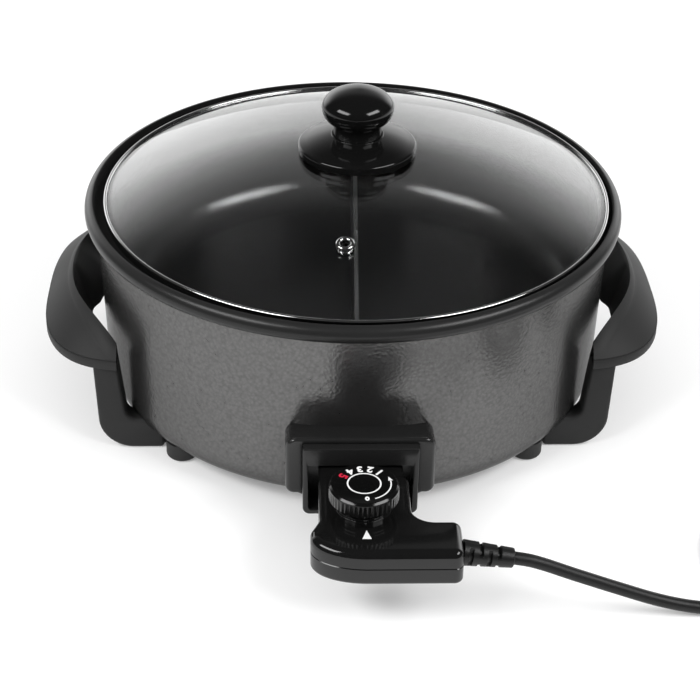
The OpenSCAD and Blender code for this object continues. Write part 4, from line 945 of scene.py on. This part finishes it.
# Studio: a white table that fades into a white backdrop, two soft boxes high in front on the left and right,
# and a dark room that is bright only behind the table, low down and more so to the sides.
SEEN_SHARE = 0.2
BOX_PLACE, BOX_SIZE, BOX_WATTS = (1.34, -0.78, 1.6), (1.4, 0.6), 30
AMBIENT, DARK, BRIGHTEST = (0.7, 0.7, 0.7, 1), 0.05, 2.4
table = bpy.data.meshes.new("table")
table.from_pydata([(-6, -0.5, 0), (6, -0.5, 0), (6, 6, 0), (-6, 6, 0)], [], [(0, 1, 2, 3)])
table_top = bpy.data.materials.new("table_top")
table_top.use_nodes = True
table.materials.append(table_top)
floor = bpy.data.objects.new("table", table)
scene.collection.objects.link(floor)


def rays(w):
    """Whether a ray comes from the camera, off a gloss or through glass, each 1 or 0."""
    return [w.node("ShaderNodeLightPath", output=kind)
            for kind in ("Is Camera Ray", "Is Glossy Ray", "Is Transmission Ray")]


w = Wire(table_top.node_tree)
camera_ray, glossy_ray, clear_ray = rays(w)
seen = w.math("MINIMUM", camera_ray + glossy_ray + clear_ray, 1)
white = w.node("ShaderNodeBsdfDiffuse", {"Color": (0.95, 0.95, 0.95, 1)})
glow = w.node("ShaderNodeEmission", {"Color": (1, 1, 1, 1), "Strength": 1.0})
distance = w.node("ShaderNodeVectorMath", {0: own_place(w)}, 1, operation="LENGTH")
fading = ramped(distance, 0.7, 1.5, interpolation_type="SMOOTHSTEP")
shown = w.node("ShaderNodeMixShader", {0: (SEEN_SHARE + (1 - SEEN_SHARE) * fading) * seen, 1: white, 2: glow})
w.tree.links.new(shown.socket, w.tree.nodes["Material Output"].inputs[0])

world = bpy.data.worlds.new("studio")
world.use_nodes = True
scene.world = world
w = Wire(world.node_tree)
camera_ray, glossy_ray, clear_ray = rays(w)
towards = w.node("ShaderNodeTexCoord", output="Generated")
aside, back, upward = (w.node("ShaderNodeSeparateXYZ", {0: towards}, k) for k in range(3))
MIDDLE = ((0.0, 0.5), (0.26, 0.5), (0.42, 0.13), (0.6, 0.14), (0.67, 0.085), (0.75, 0.025), (1.0, 0.015))
WINGS = ((0.0, 0.7), (0.26, 0.7), (0.42, 0.57), (0.5, 0.27), (0.6, 0.0))
middle, wings = (
    w.node("ShaderNodeValToRGB", {0: upward}, stops=[(place, (v, v, v, 1)) for place, v in levels])
    for levels in (MIDDLE, WINGS))
behind = ramped(back, 0.5, 0.78, interpolation_type="SMOOTHSTEP")
bright = 2 * middle + 4 * wings * w.math("ABSOLUTE", aside - 0.06, 0)
room = DARK + w.math("MINIMUM", bright, BRIGHTEST) * behind
around = blended(glossy_ray + clear_ray, AMBIENT, room)
backdrop = blended(camera_ray, around, (1, 1, 1, 1))
w.tree.links.new(backdrop.socket, w.tree.nodes["Background"].inputs["Color"])

for side in (-1, 1):
    box = bpy.data.lights.new("soft_box", "AREA")
    box.shape, box.size, box.size_y, box.energy = "RECTANGLE", *BOX_SIZE, BOX_WATTS
    lamp = bpy.data.objects.new("soft_box", box)
    lamp.location = (side * BOX_PLACE[0], *BOX_PLACE[1:])
    lamp.rotation_euler = (Vector((0, 0.045, 0.1)) - lamp.location).to_track_quat("-Z", "Y").to_euler()
    scene.collection.objects.link(lamp)
